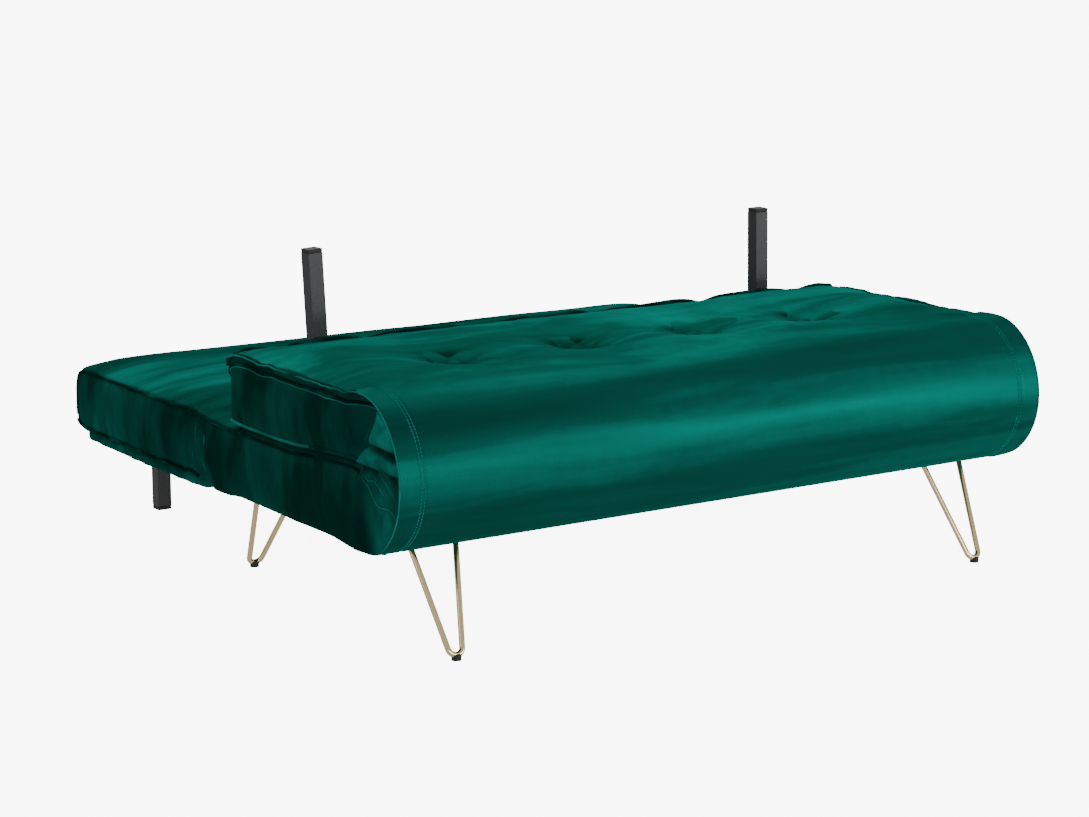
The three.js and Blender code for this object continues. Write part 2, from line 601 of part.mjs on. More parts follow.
for (const [name, side] of SIDES) {
  const [studStart, studEnd] = [FIXED_X[0] + 1, MOVING_X[1] + 2].map((x) => side * x);
  const stud = bar([studStart, PIVOT_Y, PIVOT_Z], [studEnd, PIVOT_Y, PIVOT_Z], STUD_R);
  const headStart = side * (MOVING_X[1] + GAP);
  const head = bar([headStart, PIVOT_Y, PIVOT_Z], [studEnd + side, PIVOT_Y, PIVOT_Z], STUD_R + 4);
  const holeX = [side * (MOVING_X[0] - 1), side * (MOVING_X[1] + 1)];
  const hole = bar([holeX[0], PIVOT_Y, PIVOT_Z], [holeX[1], PIVOT_Y, PIVOT_Z], STUD_R + RUN);
  const fixed = join(reclineArm(side, FIXED_X, [BASE_FRAME[1] - PLATE_FOOT, BASE_FRAME[1]]), stud, head);
  const moving = cut(reclineArm(side, MOVING_X, [BACK_START + 50, BACK_START + 50 + PLATE_FOOT]), hole);
  addNode(`recline_plate_base_${name}`, fixed, FRAME_STEEL);
  addNode(`recline_plate_back_${name}`, moving, FRAME_STEEL);
}

// The part's own origin is on the floor, under the middle of its overall box.
group.position.y = -(BACK_END - KNUCKLE_R) / 2;

export default group;
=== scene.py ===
# %% [markdown]
# # A velvet sofa bed on hairpin legs
# The frame comes first: every steel part, every cushion's place and every joint is already known.
# This lesson dresses that frame. It makes the velvet covers, the sheet wrapped round the front, the
# seams and stitches, the bent gold legs and the black tubes, then lights them in a pale studio.

# %% Load the frame and measure it
import json
import math

import bmesh
import bpy
import numpy as np
from mathutils import Matrix, Vector
from mathutils.bvhtree import BVHTree


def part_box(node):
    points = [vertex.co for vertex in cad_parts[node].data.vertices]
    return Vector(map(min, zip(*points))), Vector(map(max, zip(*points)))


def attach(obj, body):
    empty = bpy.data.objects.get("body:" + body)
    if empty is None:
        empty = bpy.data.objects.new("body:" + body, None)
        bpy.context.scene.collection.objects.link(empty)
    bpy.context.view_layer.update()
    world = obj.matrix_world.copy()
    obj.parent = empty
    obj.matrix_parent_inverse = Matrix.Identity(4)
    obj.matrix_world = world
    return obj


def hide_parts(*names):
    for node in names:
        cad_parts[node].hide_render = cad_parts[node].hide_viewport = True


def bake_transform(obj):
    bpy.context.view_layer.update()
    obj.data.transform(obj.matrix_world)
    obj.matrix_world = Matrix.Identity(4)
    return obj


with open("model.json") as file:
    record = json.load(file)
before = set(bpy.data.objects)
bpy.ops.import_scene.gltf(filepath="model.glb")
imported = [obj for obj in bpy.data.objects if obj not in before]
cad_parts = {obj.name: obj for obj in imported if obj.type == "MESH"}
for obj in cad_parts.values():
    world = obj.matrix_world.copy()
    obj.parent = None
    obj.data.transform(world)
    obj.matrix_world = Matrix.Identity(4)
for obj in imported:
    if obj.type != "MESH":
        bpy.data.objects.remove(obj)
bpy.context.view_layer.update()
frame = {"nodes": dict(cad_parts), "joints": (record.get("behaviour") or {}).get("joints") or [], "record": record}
joints = {j["name"]: j for j in frame["joints"]}
FOLD = Vector(joints["fold_out"]["pos_m"])
PIVOT = Vector(joints["recline"]["pos_m"])
BASE_LOW, BASE_HIGH = (Vector(c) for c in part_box("base_cushion"))
FLIP_HIGH = Vector(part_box("flip_seat_pad")[1])
BACK_LOW, BACK_HIGH = (Vector(c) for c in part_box("back_cushion"))
PAD_LOW = Vector(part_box("back_underside_pad")[0])
HALF = BASE_HIGH.x
BUTTON_BOXES = [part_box(f"tuft_button_{i}") for i in range(1, 5)]
BUTTONS = [(Vector(low) + Vector(high)) / 2 for low, high in BUTTON_BOXES]
SIDES = (("left", -1), ("right", 1))
print("width", round(2 * HALF, 3), "fold line at", tuple(round(c, 3) for c in FOLD))
print("a row of", len(BUTTONS), "buttons, the first at", tuple(round(c, 3) for c in BUTTONS[0]))

# %% [markdown]
# ## Small helpers for meshes
# Every piece here ends as a mesh at the origin, with its place in its own points. These helpers turn an
# edit mesh into an object, make its modifiers real, and read or write all its points at once as an
# array, which is far quicker than a loop over thousands of vertices.

# %% Objects and their points
def add_object(name, mesh_or_bm, material=None, smooth=True):
    mesh = mesh_or_bm
    if isinstance(mesh_or_bm, bmesh.types.BMesh):
        mesh = bpy.data.meshes.new(name)
        mesh_or_bm.to_mesh(mesh)
        mesh_or_bm.free()
    mesh.shade_smooth() if smooth else mesh.shade_flat()
    piece = bpy.data.objects.new(name, mesh)
    bpy.context.scene.collection.objects.link(piece)
    if material:
        mesh.materials.clear()
        mesh.materials.append(material)
    return piece


def settled(piece):
    """The piece with its modifiers made real."""
    graph = bpy.context.evaluated_depsgraph_get()
    mesh = bpy.data.meshes.new_from_object(piece.evaluated_get(graph))
    old = piece.data
    piece.modifiers.clear()
    piece.data = mesh
    bpy.data.meshes.remove(old)
    return piece


def points_of(mesh):
    flat = np.empty(len(mesh.vertices) * 3)
    mesh.vertices.foreach_get("co", flat)
    return flat.reshape(-1, 3)


def put_points(mesh, points):
    mesh.vertices.foreach_set("co", points.ravel())
    mesh.update()


def tree_of(piece):
    """A search tree of the piece's faces, for finding places on it."""
    bm = bmesh.new()
    bm.from_mesh(piece.data)
    tree = BVHTree.FromBMesh(bm)
    bm.free()
    return tree


# %% [markdown]
# ## Two soft curves
# Cloth has no sharp steps, so almost every bulge and hollow below is one of two curves: a bell, which
# is 1 at its middle and fades both ways, and an ease, which climbs softly from 0 to 1.

# %% The bell and the ease
def bell(value, middle, width):
    return np.exp(-(((np.asarray(value, float) - middle) / width) ** 2))


def ease(value, low, high):
    t = np.clip((np.asarray(value, float) - low) / (high - low), 0, 1)
    return t * t * (3 - 2 * t)


print("bell half a width out:", round(float(bell(0.5, 0, 1)), 2), "ease half way:", float(ease(0.5, 0, 1)))

# %% [markdown]
# ## Blocks to start from
# Foam is cut as a block with some edges rounded. So a cover starts as a cube that is scaled into
# place, and only its long edges are bevelled, each with its own radius.

# %% A block with chosen edges rounded
def block(low, high, bevels):
    """A box whose long edges are rounded: bevels maps a (y side, z side) pair to (radius, segments)."""
    bm = bmesh.new()
    bmesh.ops.create_cube(bm, size=1)
    size = Vector(high) - Vector(low)
    bmesh.ops.scale(bm, vec=size, verts=bm.verts)
    bmesh.ops.translate(bm, vec=(Vector(high) + Vector(low)) / 2, verts=bm.verts)
    middle = (Vector(high) + Vector(low)) / 2
    for (ys, zs), (radius, segments) in bevels.items():
        edges = [
            e for e in bm.edges
            if abs((e.verts[1].co - e.verts[0].co).x) > 0.9 * size.x
            and (e.verts[0].co.y - middle.y) * ys > 0.49 * size.y
            and (e.verts[0].co.z - middle.z) * zs > 0.49 * size.z
        ]
        bmesh.ops.bevel(
            bm, geom=edges, offset=radius, offset_type="OFFSET", segments=segments,
            profile=0.5, affect="EDGES", material=-1,
        )
    return bm


# %% [markdown]
# ## Shader helpers
# Shader sums read best as ordinary arithmetic, so one small class wraps a socket and gives it the
# usual operators. Every other node comes from a single call that takes its type, settings and inputs.

# %% Shader helpers
class Value:
    """A shader number that adds and multiplies like a Python number."""

    def __init__(self, tree, socket):
        self.tree = tree
        self.socket = socket

    def _calc(self, kind, *others, clamp=False):
        node = self.tree.nodes.new("ShaderNodeMath")
        node.operation = kind
        node.use_clamp = clamp
        for slot, other in zip(node.inputs, others):
            if isinstance(other, Value):
                self.tree.links.new(other.socket, slot)
            else:
                slot.default_value = other
        return Value(self.tree, node.outputs[0])

    def __add__(self, other):
        return self._calc("ADD", self, other)

    def __sub__(self, other):
        return self._calc("SUBTRACT", self, other)

    def __mul__(self, other):
        return self._calc("MULTIPLY", self, other)

    def __rsub__(self, other):
        return self._calc("SUBTRACT", other, self)

    def __pow__(self, other):
        return self._calc("POWER", self, other)

    def clamped(self):
        return self._calc("ADD", self, 0.0, clamp=True)

    def absolute(self):
        return self._calc("ABSOLUTE", self)

    def power_of_e(self):
        return self._calc("EXPONENT", self)


class Finish:
    """A material under construction."""

    def __init__(self, name):
        self.material = bpy.data.materials.new(name)
        self.material.use_nodes = True
        self.tree = self.material.node_tree
        self.shader = self.tree.nodes["Principled BSDF"]

    def node(self, kind, settings=None, inputs=None):
        made = self.tree.nodes.new(kind)
        for key, value in (settings or {}).items():
            setattr(made, key, value)
        for key, value in (inputs or {}).items():
            slot = made.inputs[key]
            if isinstance(value, Value):
                value = value.socket
            if isinstance(value, bpy.types.NodeSocket):
                self.tree.links.new(value, slot)
            else:
                slot.default_value = value
        return made

    def value(self, socket):
        return Value(self.tree, socket)

    def place(self, scale=(1, 1, 1)):
        """The place on the piece in metres, stretched along each axis."""
        where = self.node("ShaderNodeTexCoord").outputs["Object"]
        return self.node("ShaderNodeMapping", inputs={"Vector": where, "Scale": scale}).outputs[0]

    def axes(self):
        """The same place as three numbers: across, back and up."""
        parts = self.node("ShaderNodeSeparateXYZ", inputs={"Vector": self.place()})
        return [self.value(parts.outputs[i]) for i in range(3)]

    def noise(self, scale, detail=3.0, rough=0.5, warp=0.0, vector=None):
        inputs = {"Scale": scale, "Detail": detail, "Roughness": rough, "Distortion": warp}
        inputs["Vector"] = vector or self.place()
        return self.value(self.node("ShaderNodeTexNoise", inputs=inputs).outputs["Fac"])

    def blend_colours(self, factor, low, high):
        made = self.node("ShaderNodeMix", {"data_type": "RGBA"})
        self.tree.links.new(factor.socket, made.inputs[0])
        for slot, colour in ((made.inputs[6], low), (made.inputs[7], high)):
            if isinstance(colour, bpy.types.NodeSocket):
                self.tree.links.new(colour, slot)
            else:
                slot.default_value = (*colour, 1)
        return made.outputs[2]

    def set(self, **inputs):
        for key, value in inputs.items():
            slot = self.shader.inputs[key.replace("_", " ")]
            if isinstance(value, Value):
                value = value.socket
            if isinstance(value, bpy.types.NodeSocket):
                self.tree.links.new(value, slot)
            else:
                slot.default_value = value
        return self

    def bump(self, height, strength, distance):
        inputs = {"Height": height, "Strength": strength, "Distance": distance}
        return self.set(Normal=self.node("ShaderNodeBump", inputs=inputs).outputs[0])


print("shader helpers ready:", Value.__name__, "and", Finish.__name__)


# %% [markdown]
# ## Velvet
# Velvet is a short standing pile. Brushed one way it looks dark, brushed the other way it shines, so
# its colour wanders in soft cloudy patches even where the dye is even. Here large smeared clouds mix a
# deep and a bright emerald, a finer mottle breaks them up, and a very fine grain stands for the pile.
# A part-metallic response gives the coloured gleam that velvet has, and sheen lifts its grazing edges.

# %% One velvet, from its colours and the size of its clouds
CRUSHED = (0.0, 0.01, 0.008)
SHEEN = (0.0, 0.5, 0.4, 1)
TEAL_EDGE = (0.0, 0.5, 0.42, 1)


# lift paints the whole velvet lighter as a lit copy, shape adds painted light and shade worked out from the place
# on the piece, and the end argument paints shade over the end faces.
def velvet(name, colours, clouds, lift=0.0, wear=1.0, shape=None, painted_end_shade=0.0):
    deep, middle, bright = colours
    finish = Finish(name)
    smear = finish.place(scale=clouds)
    broad = finish.noise(1.0, 3.0, 0.5, 0.25, smear)
    streak = finish.noise(2.7, 4.0, 0.55, 0.4, smear)
    mottle = finish.noise(38.0, 4.0, 0.65)
    pile = finish.noise(620.0, 2.0, 0.5)
    # The patches hold the velvet's own random clouds. lift, shape and the end shade below add painted light and
    # shade to them.
    patch = (broad - 0.5) * 2.4 * wear + (streak - 0.5) * 1.5 * wear + 0.45 + lift
    if shape:
        patch = patch + shape(finish)
    if painted_end_shade:
        # Painted shade over the end faces of the covers.
        ends = ((finish.axes()[0].absolute() - (HALF - 0.012)) * 120.0).clamped()
        patch = patch - ends * painted_end_shade
    patch = patch.clamped()
    body = finish.blend_colours((patch * 1.7).clamped(), deep, middle)
    glow = ((patch - 0.5) * 1.9 + (mottle - 0.5) * 0.35).clamped()
    body = finish.blend_colours(glow, body, bright)
    shade = ((mottle - 0.5) * 0.5 + (pile - 0.5) * 0.5 + 0.5).clamped()
    body = finish.blend_colours(shade * 0.16, body, CRUSHED)
    finish.set(
        Base_Color=body,
        Metallic=0.3,
        Roughness=((mottle - 0.5) * 0.1 + 0.46).clamped(),
        Sheen_Weight=0.12,
        Sheen_Roughness=0.4,
        Sheen_Tint=SHEEN,
        Specular_IOR_Level=0.0,
        Specular_Tint=TEAL_EDGE,
    )
    finish.bump(pile * 0.5 + mottle * 0.5, 0.25, 0.0006)
    return finish.material


# %% [markdown]
# ## Painted light on the long panel
# On the long front sheet a painted highlight band runs along the middle of the front, painted shade lies along
# the upper roll and towards the bottom, and painted shade darkens each button hollow. The seat top has random
# clouds and is painted a little brighter towards its back. Light alone would not show this on a smooth mesh, so
# all of it is worked out from the place on the piece.

# %% Painted light and shade on the long panel and in the corners
def painted_nose_light(finish):
    """Painted highlight and shade bands along the front, clouds painted brighter towards the seat's back, painted
    shade round the buttons.
    """
    across, back, up = finish.axes()
    drift = finish.noise(1.0, 2.0, 0.5, 0.3, finish.place(scale=(2.0, 0.0, 0.0)))
    level = up - FOLD.z + (drift - 0.5) * 0.05 - across * 0.018
    # bright is a painted highlight band along the middle of the front, dark is painted shade along the upper roll.
    bright = (0.0 - ((level - 0.026) * 19.0) ** 2.0).power_of_e()
    dark = (0.0 - ((level - 0.095) * 25.0) ** 2.0).power_of_e()
    # low is painted shade, darker towards the bottom of the front.
    low = ((0.0 - level - 0.03) * 9.0).clamped()
    front = ((FOLD.y + 0.13 - back) * 12.0).clamped()
    clouds = finish.noise(1.0, 5.0, 0.6, 0.8, finish.place(scale=(2.6, 8.0, 2.0)))
    # Random clouds on the seat, painted brighter towards its back.
    top = (clouds - 0.5) * 1.5 * (1.0 - front) + ((back - FOLD.y - 0.2) * 1.6).clamped() * 0.2
    # Painted shade in each button hollow, set on its far wall.
    hole = None
    for spot in BUTTONS:
        far = ((across - spot.x) * 24.0) ** 2.0 + ((back - (spot.y + 0.016)) * 30.0) ** 2.0
        one = (0.0 - far).power_of_e()
        hole = one if hole is None else hole + one
    bands = bright * (0.21 - across * 0.16) - dark * 0.17 - low * 0.02 + 0.07
    return bands * front + top - hole * 0.5 - hole ** 3.0 * 1.3


def sunken_shade(finish):
    """Painted shade where the cloth at an end sinks inwards."""
    return ((HALF - 0.0035 - finish.axes()[0].absolute()) * 110.0).clamped() * -0.95


# %% The velvets, one for each kind of piece
DEEP = (0.0, 0.024, 0.017)
MIDDLE = (0.0, 0.092, 0.07)
BRIGHT = (0.0, 0.22, 0.175)
GREENS = (DEEP, MIDDLE, BRIGHT)
# DARK_GREENS is a shaded copy of the greens, for painted shade along the seams.
DARK_GREENS = ((0.0, 0.008, 0.006), DEEP, MIDDLE)
# LIGHT_GREENS is a lit copy of the greens, for painted highlights.
LIGHT_GREENS = (MIDDLE, BRIGHT, (0.02, 0.4, 0.33))
EVEN = (9.0, 9.0, 9.0)
SMALL = (9.0, 14.0, 14.0)
# The panel velvet carries the painted highlight and shade bands.
panel_velvet = velvet("panel_velvet", GREENS, (0.7, 5.0, 9.0), wear=0.38, shape=painted_nose_light)
# The side velvet's end faces are darkened with painted shade.
side_velvet = velvet("side_velvet", GREENS, (1.2, 6.5, 2.6), wear=0.74, painted_end_shade=0.24)
# The seams use a shaded copy of the velvet: painted shade.
shaded_seam_velvet = velvet("shaded_seam_velvet", DARK_GREENS, EVEN)
# The corner flaps are painted lighter as a highlight and darker as shade in their hollows.
flap_light_and_shade_velvet = velvet("flap_light_and_shade_velvet", GREENS, SMALL, wear=0.7, lift=0.34, shape=sunken_shade)
# The meeting creases are painted lighter as highlights.
crease_highlight_velvet = velvet("crease_highlight_velvet", GREENS, SMALL, wear=0.7, lift=0.3)
# The belly is painted a little lighter, for the highlights along its rim.
belly_velvet = velvet("belly_velvet", GREENS, (2.2, 9.0, 9.0), wear=0.6, lift=0.12)
# The lit copy of the velvet, for painted highlights on edge lines, stitches and creases.
highlight_velvet = velvet("highlight_velvet", LIGHT_GREENS, EVEN, wear=0.6)
print("velvets made:", sum(m.name.endswith("velvet") for m in bpy.data.materials))

# %% [markdown]
# ## Metals, rubber and board
# The hairpins are brass-plated rod: a full metal whose grazing edges go brown, which draws the thin
# dark lines along a polished rod. The square tubes are powder-coated, so they are black paint with a
# fine grain. Each finish varies a little, because no painted or plated part is one even colour.

# %% The other finishes
WHITE_EDGE = (1, 1, 1, 1)
BROWN_EDGE = (0.4, 0.24, 0.08, 1)


def plain(name, colour, metallic, roughness, grain, vary=0.12, edge=WHITE_EDGE):
    finish = Finish(name)
    cloud = finish.noise(grain, 4.0, 0.6)
    colour_low = tuple(c * (1 - vary) for c in colour)
    finish.set(
        Base_Color=finish.blend_colours(cloud, colour_low, colour),
        Metallic=metallic,
        Roughness=((cloud - 0.5) * 0.15 + roughness).clamped(),
        Specular_Tint=edge,
    )
    finish.bump(cloud, 0.2, 0.0002)
    return finish.material


gold = plain("champagne_gold", (1.0, 0.78, 0.42), 1.0, 0.16, 14.0, 0.06, BROWN_EDGE)
black_paint = plain("black_powder_coat", (0.016, 0.016, 0.019), 0.0, 0.42, 900.0, 0.3)
frame_paint = plain("frame_paint", (0.03, 0.031, 0.034), 0.3, 0.5, 300.0)
black_rubber = plain("black_rubber", (0.008, 0.008, 0.008), 0.0, 0.65, 400.0)
board = plain("deck_board", (0.32, 0.19, 0.09), 0.0, 0.7, 30.0, 0.3)
black_cloth = plain("dust_cloth_fabric", (0.012, 0.012, 0.013), 0.0, 0.95, 1200.0, 0.4)

# %% Dress the frame's own parts by what they are made of
by_slot = {
    "velvet": side_velvet, "black_steel": black_paint, "frame_steel": frame_paint, "gold_rod": gold,
    "rubber": black_rubber, "board": board, "dust_cloth": black_cloth,
}
slots = {s["node"]: s["material_slot"] for s in frame["record"]["subparts"]}
for name, node in frame["nodes"].items():
    node.data.materials.clear()
    node.data.materials.append(by_slot[slots[name]])
print(len(slots), "frame nodes given a finish")

# %% [markdown]
# ## The covers
# Each section is a block of foam in a velvet cover. Air pressure inside a cloth copy of the block
# swells the panels between their seams, which are pinned, so the surfaces crown and the edges stay.
# The button points of the fold-out section are pulled down and pinned first, so the cloth wrinkles
# around them by itself.

# %% Even meshes
VOXEL = 0.0062


def even_cloth(name, bm, rounds=3):
    piece = add_object(name, bm)
    remesh = piece.modifiers.new("even", "REMESH")
    remesh.mode = "VOXEL"
    remesh.voxel_size = VOXEL
    settled(piece)
    bm = bmesh.new()
    bm.from_mesh(piece.data)
    every_way = {f"use_axis_{axis}": True for axis in "xyz"}
    for _ in range(rounds):
        bmesh.ops.smooth_vert(bm, verts=bm.verts, factor=0.5, **every_way)
    bm.to_mesh(piece.data)
    bm.free()
    print(name, "starts with", len(piece.data.vertices), "points")
    return piece


# %% Swelling under pressure
STEPS = 20
STIFF = 12
PRESSURE = 4.0
SPARE = 0.004


def swell(piece, pinned, cap):
    """Blow the cover up like cloth, hold its pinned points, and cap how far any point moves."""
    start = points_of(piece.data)
    group = piece.vertex_groups.new(name="pinned")
    group.add([int(i) for i in np.flatnonzero(pinned)], 1.0, "REPLACE")
    cloth = piece.modifiers.new("cloth", "CLOTH")
    cloth.settings.quality = 4
    cloth.settings.mass = 0.3
    cloth.settings.tension_stiffness = STIFF
    cloth.settings.compression_stiffness = STIFF
    cloth.settings.bending_stiffness = 0.3
    cloth.settings.use_pressure = True
    cloth.settings.uniform_pressure_force = PRESSURE
    cloth.settings.vertex_group_mass = "pinned"
    cloth.settings.shrink_min = -SPARE
    cloth.settings.effector_weights.gravity = 0
    cloth.collision_settings.use_collision = False
    cloth.point_cache.frame_end = STEPS
    scene = bpy.context.scene
    for step in range(1, STEPS + 1):
        scene.frame_set(step)
    settled(piece)
    moved = points_of(piece.data) - start
    far = np.linalg.norm(moved, axis=1, keepdims=True)
    limited = cap * np.tanh(far / cap) / np.maximum(far, 1e-9)
    put_points(piece.data, start + moved * limited)
    scene.frame_set(1)
    piece.vertex_groups.clear()
    print(piece.name, len(start), "points, moved up to", round(float(far.max()), 4))


# %% Blocks for the three sections, a little smaller than they end up
TOP = FLIP_HIGH.z - 0.002
SIDE = HALF - 0.005
NOSE_ROUND = (0.103, 14)
SMALL_ROUND = (0.014, 3)


def section(name, front_low, back_high, bevels):
    """A block from one (y, z) corner to the other, over the whole width."""
    return even_cloth(name, block((-SIDE, *front_low), (SIDE, *back_high), bevels))


flip = section(
    "fold_out_cover", (FOLD.y + 0.004, FOLD.z + 0.0005), (FLIP_HIGH.y - 0.002, TOP),
    {(-1, 1): NOSE_ROUND, (1, 1): (0.028, 6), (1, -1): SMALL_ROUND},
)
base = section(
    "base_cover", (FOLD.y + 0.004, BASE_LOW.z + 0.0015), (BASE_HIGH.y + 0.003, FOLD.z - 0.0005),
    {(-1, -1): NOSE_ROUND, (1, -1): SMALL_ROUND},
)
back = section(
    "back_cover", (BACK_LOW.y - 0.003, BACK_LOW.z + 0.004), (BACK_HIGH.y - 0.004, BACK_HIGH.z - 0.002),
    {(1, 1): (0.03, 6), (1, -1): (0.026, 5)},
)


# %% Pull the row of buttons down
def tuft_depth(x, y, tight, deep):
    """How far the surface is pulled down at each point, around the row of buttons."""
    down = np.zeros_like(x)
    for spot in BUTTONS:
        down += deep * np.exp(-(np.hypot(x - spot.x, y - spot.y) / tight) ** 1.6)
    return down


points = points_of(flip.data)
upper = ease(points[:, 2], TOP - 0.02, TOP - 0.002)
points[:, 2] -= upper * tuft_depth(points[:, 0], points[:, 1], 0.026, 0.016)
put_points(flip.data, points)
print("lowest button point is", round(float(TOP - points[upper > 0.9, 2].min()), 4), "below the top")

# %% Blow them up
for piece, cap in ((flip, 0.022), (base, 0.008), (back, 0.018)):
    points = points_of(piece.data)
    low, high = points.min(axis=0), points.max(axis=0)
    near = 0.8 * VOXEL + 0.002
    edge = (
        (points[:, 2] > high[2] - near) | (points[:, 2] < low[2] + near)
        | (points[:, 1] > high[1] - near) | (points[:, 1] < low[1] + near)
    )
    pinned = edge & (np.abs(points[:, 0]) > high[0] - near)
    if piece is not back:
        pinned |= points[:, 1] < FOLD.y + 0.106
    if piece is flip:
        pulled = tuft_depth(points[:, 0], points[:, 1], 0.012, 1.0) > 0.5
        pinned |= pulled & (points[:, 2] > TOP - 0.03)
        pinned |= (points[:, 2] > TOP - 0.012) & (points[:, 1] > high[1] - 0.010)
    swell(piece, pinned, cap)

# %% [markdown]
# ## Gathers, folds and seams
# Where a flat end meets the rounded front there is too much cloth, so it is bunched to one knot and
# tucked inside the wrapped front. The folds run out from the knot like the spokes of a fan. The same
# pull-in happens where the base meets the back section.

# %% Shape the ends of each cover
KNOT = (FOLD.y + 0.117, FOLD.z + 0.016)
# each fold: the way it runs from the knot, its width, and how far it stands out
FOLDS = [
    (-2.72, 0.07, 0.008), (-2.36, 0.07, 0.009), (-2.05, 0.08, 0.008),
    (-1.75, 0.1, 0.006), (2.9, 0.12, 0.004), (-3.05, 0.08, 0.007),
]
LEVEL = 0.014  # how much higher the two sections meet at the bunched corners


def end_shape(y, z):
    """How far the end face is drawn in at each point of its outline plane."""
    dy, dz = y - KNOT[0], z - KNOT[1]
    r = np.hypot(dy, dz)
    angle = np.arctan2(dz, dy)
    inside = 0.022 * ease(-dy, -0.01, 0.06) * ease(z, BASE_LOW.z - 0.005, BASE_LOW.z + 0.05)
    knot = 0.012 * np.exp(-(r / 0.014) ** 2)
    ridges = np.zeros_like(r)
    for where, width, height in FOLDS:
        off = np.abs(np.angle(np.exp(1j * (angle - where))))
        ridges += height * np.exp(-(off / width) ** 2)
    ripple = 0.0026 * np.sin(angle * 13 + 2.2 * np.sin(angle * 3.0))
    reach = ease(r, 0.006, 0.03) * (1 - 0.6 * ease(r, 0.09, 0.15))
    front = ease(-dy, -0.05, 0.02)
    return inside + knot - (ridges + ripple) * reach * front


print("knot at", tuple(round(c, 3) for c in KNOT), "with", len(FOLDS), "folds")


# %% Slack cloth, and the height where two sections meet
def soft_noise(points, scale, seed, count=14):
    """Smooth random waves over space, the same on every run."""
    draw = np.random.default_rng(seed)
    total = np.zeros(len(points))
    for _ in range(count):
        way = draw.normal(size=3) * scale
        total += np.sin(points @ way + draw.uniform(0, 6.28))
    return total / math.sqrt(count)


def corner_rise(x, y):
    """The two sections meet a little higher near the bunched corners than along the middle."""
    return LEVEL * ease(np.abs(x), HALF - 0.12, HALF - 0.01) * ease(y, KNOT[0] + 0.25, KNOT[0] + 0.02)


MEET = (BASE_HIGH.y + BACK_LOW.y) / 2
CREASES = {"fold_out_cover": (1, 0), "base_cover": (2, 1), "back_cover": (3, 1)}  # seed, meets the back
print("base and back meet at y", round(MEET, 4))

# %% Shape one cover: its ends, its buttons, its meeting faces
def shape_cover(piece):
    sub = piece.modifiers.new("smooth", "SUBSURF")
    sub.levels = sub.render_levels = 1
    settled(piece)
    points = points_of(piece.data)
    x, y, z = points.T.copy()
    seed, meets = CREASES[piece.name]
    hand = np.sign(x)
    end = ease(np.abs(x), HALF - 0.03, HALF - 0.008)
    pull = np.zeros_like(x)
    if piece is not back:
        pull += end_shape(y, z)
    if meets:
        pull += 0.012 * bell(y, MEET, 0.009) * (0.8 + 0.3 * np.sin(z * 95))
        pull += 0.003 * bell(y, MEET + (0.035 if piece is back else -0.03), 0.016) * np.sin(z * 80 + 1 + 3 * y)
    stretched = points * np.array([0.2, 1.0, 0.35])
    pull += 0.0016 * soft_noise(stretched, 22, seed) + 0.0005 * soft_noise(stretched, 80, seed + 10)
    x -= hand * end * pull
    if piece is flip:
        z -= tuft_depth(x, y, 0.024, 0.017) * ease(z, TOP - 0.03, TOP - 0.012)
        z = np.maximum(z, FOLD.z + 0.0004)
        y = np.minimum(y, FLIP_HIGH.y + 0.004)
    elif piece is base:
        z = np.clip(z, BASE_LOW.z + 0.0005, FOLD.z - 0.0004)
        bunch = bell(y, BASE_HIGH.y - 0.06, 0.035) * ease(np.abs(x), HALF - 0.09, HALF - 0.02)
        bunch = bunch * ease(z, 0.19, 0.155)
        z -= bunch * (0.010 + 0.002 * np.sin(y * 260))
        corner = ease(np.abs(x), HALF - 0.035, HALF - 0.008) * bell(y, KNOT[0], 0.05)
        z -= 0.008 * corner * ease(z, BASE_LOW.z + 0.035, BASE_LOW.z + 0.006)
        z = np.maximum(z, BASE_LOW.z + 0.0005)
        y = np.minimum(y, BASE_HIGH.y + 0.0035)
    else:
        y = np.maximum(y, BACK_LOW.y - 0.0038)
        z += 0.0012 * soft_noise(points * [0.4, 1, 0], 22, 8) * ease(z, 0.25, 0.27)
    if piece is not back:
        z += corner_rise(x, y) * np.clip(1 - np.abs(z - FOLD.z) / 0.1, 0, 1)
    x = np.clip(x, -HALF - 0.003, HALF + 0.003)
    put_points(piece.data, np.stack([x, y, z], axis=1))
    piece.data.shade_smooth()


for piece in (flip, base, back):
    shape_cover(piece)
print("covers shaped:", [len(p.data.vertices) for p in (flip, base, back)])

# %% Say what each cover moves with and what it stands for
def dress(piece, material, body, replaced=()):
    piece.data.materials.clear()
    piece.data.materials.append(material)
    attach(piece, body)
    if replaced:
        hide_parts(*replaced)


dress(flip, side_velvet, "fold_out_section", ["flip_bed_pad", "flip_seat_pad"])
dress(base, side_velvet, "base", ["base_cushion"])
dress(back, side_velvet, "back_section", ["back_cushion"])
print("covers dressed:", [p.name for p in (flip, base, back)])

# %% [markdown]
# ## The belly of the back section
# The padding under the back section is a thin cushion of its own. Its ruffled rim shows under the seam.

# %% Make the belly
belly_block = block(
    (-HALF + 0.012, PAD_LOW.y - 0.006, PAD_LOW.z + 0.001),
    (HALF - 0.012, BACK_HIGH.y - 0.016, BACK_LOW.z + 0.006),
    {(1, -1): (0.012, 3), (-1, -1): (0.008, 2)},
)
belly = even_cloth("back_belly", belly_block, 2)
points = points_of(belly.data)
along = points[:, 1]
rim = ease(np.abs(points[:, 0]), HALF - 0.05, HALF - 0.012)
points[:, 0] += np.sign(points[:, 0]) * rim * (0.0016 * np.sin(along * 75 + 2 * np.sin(along * 37)) - 0.004)
under = points[:, 2] < 0.15
points[:, 2] -= 0.003 * np.sin((along - PAD_LOW.y) / (BACK_HIGH.y - PAD_LOW.y) * math.pi) * under
under = points[:, 2] < 0.15
points[:, 2] += rim * 0.0008 * np.sin(along * 75 + 1 + 2 * np.sin(along * 37)) * under
put_points(belly.data, points)
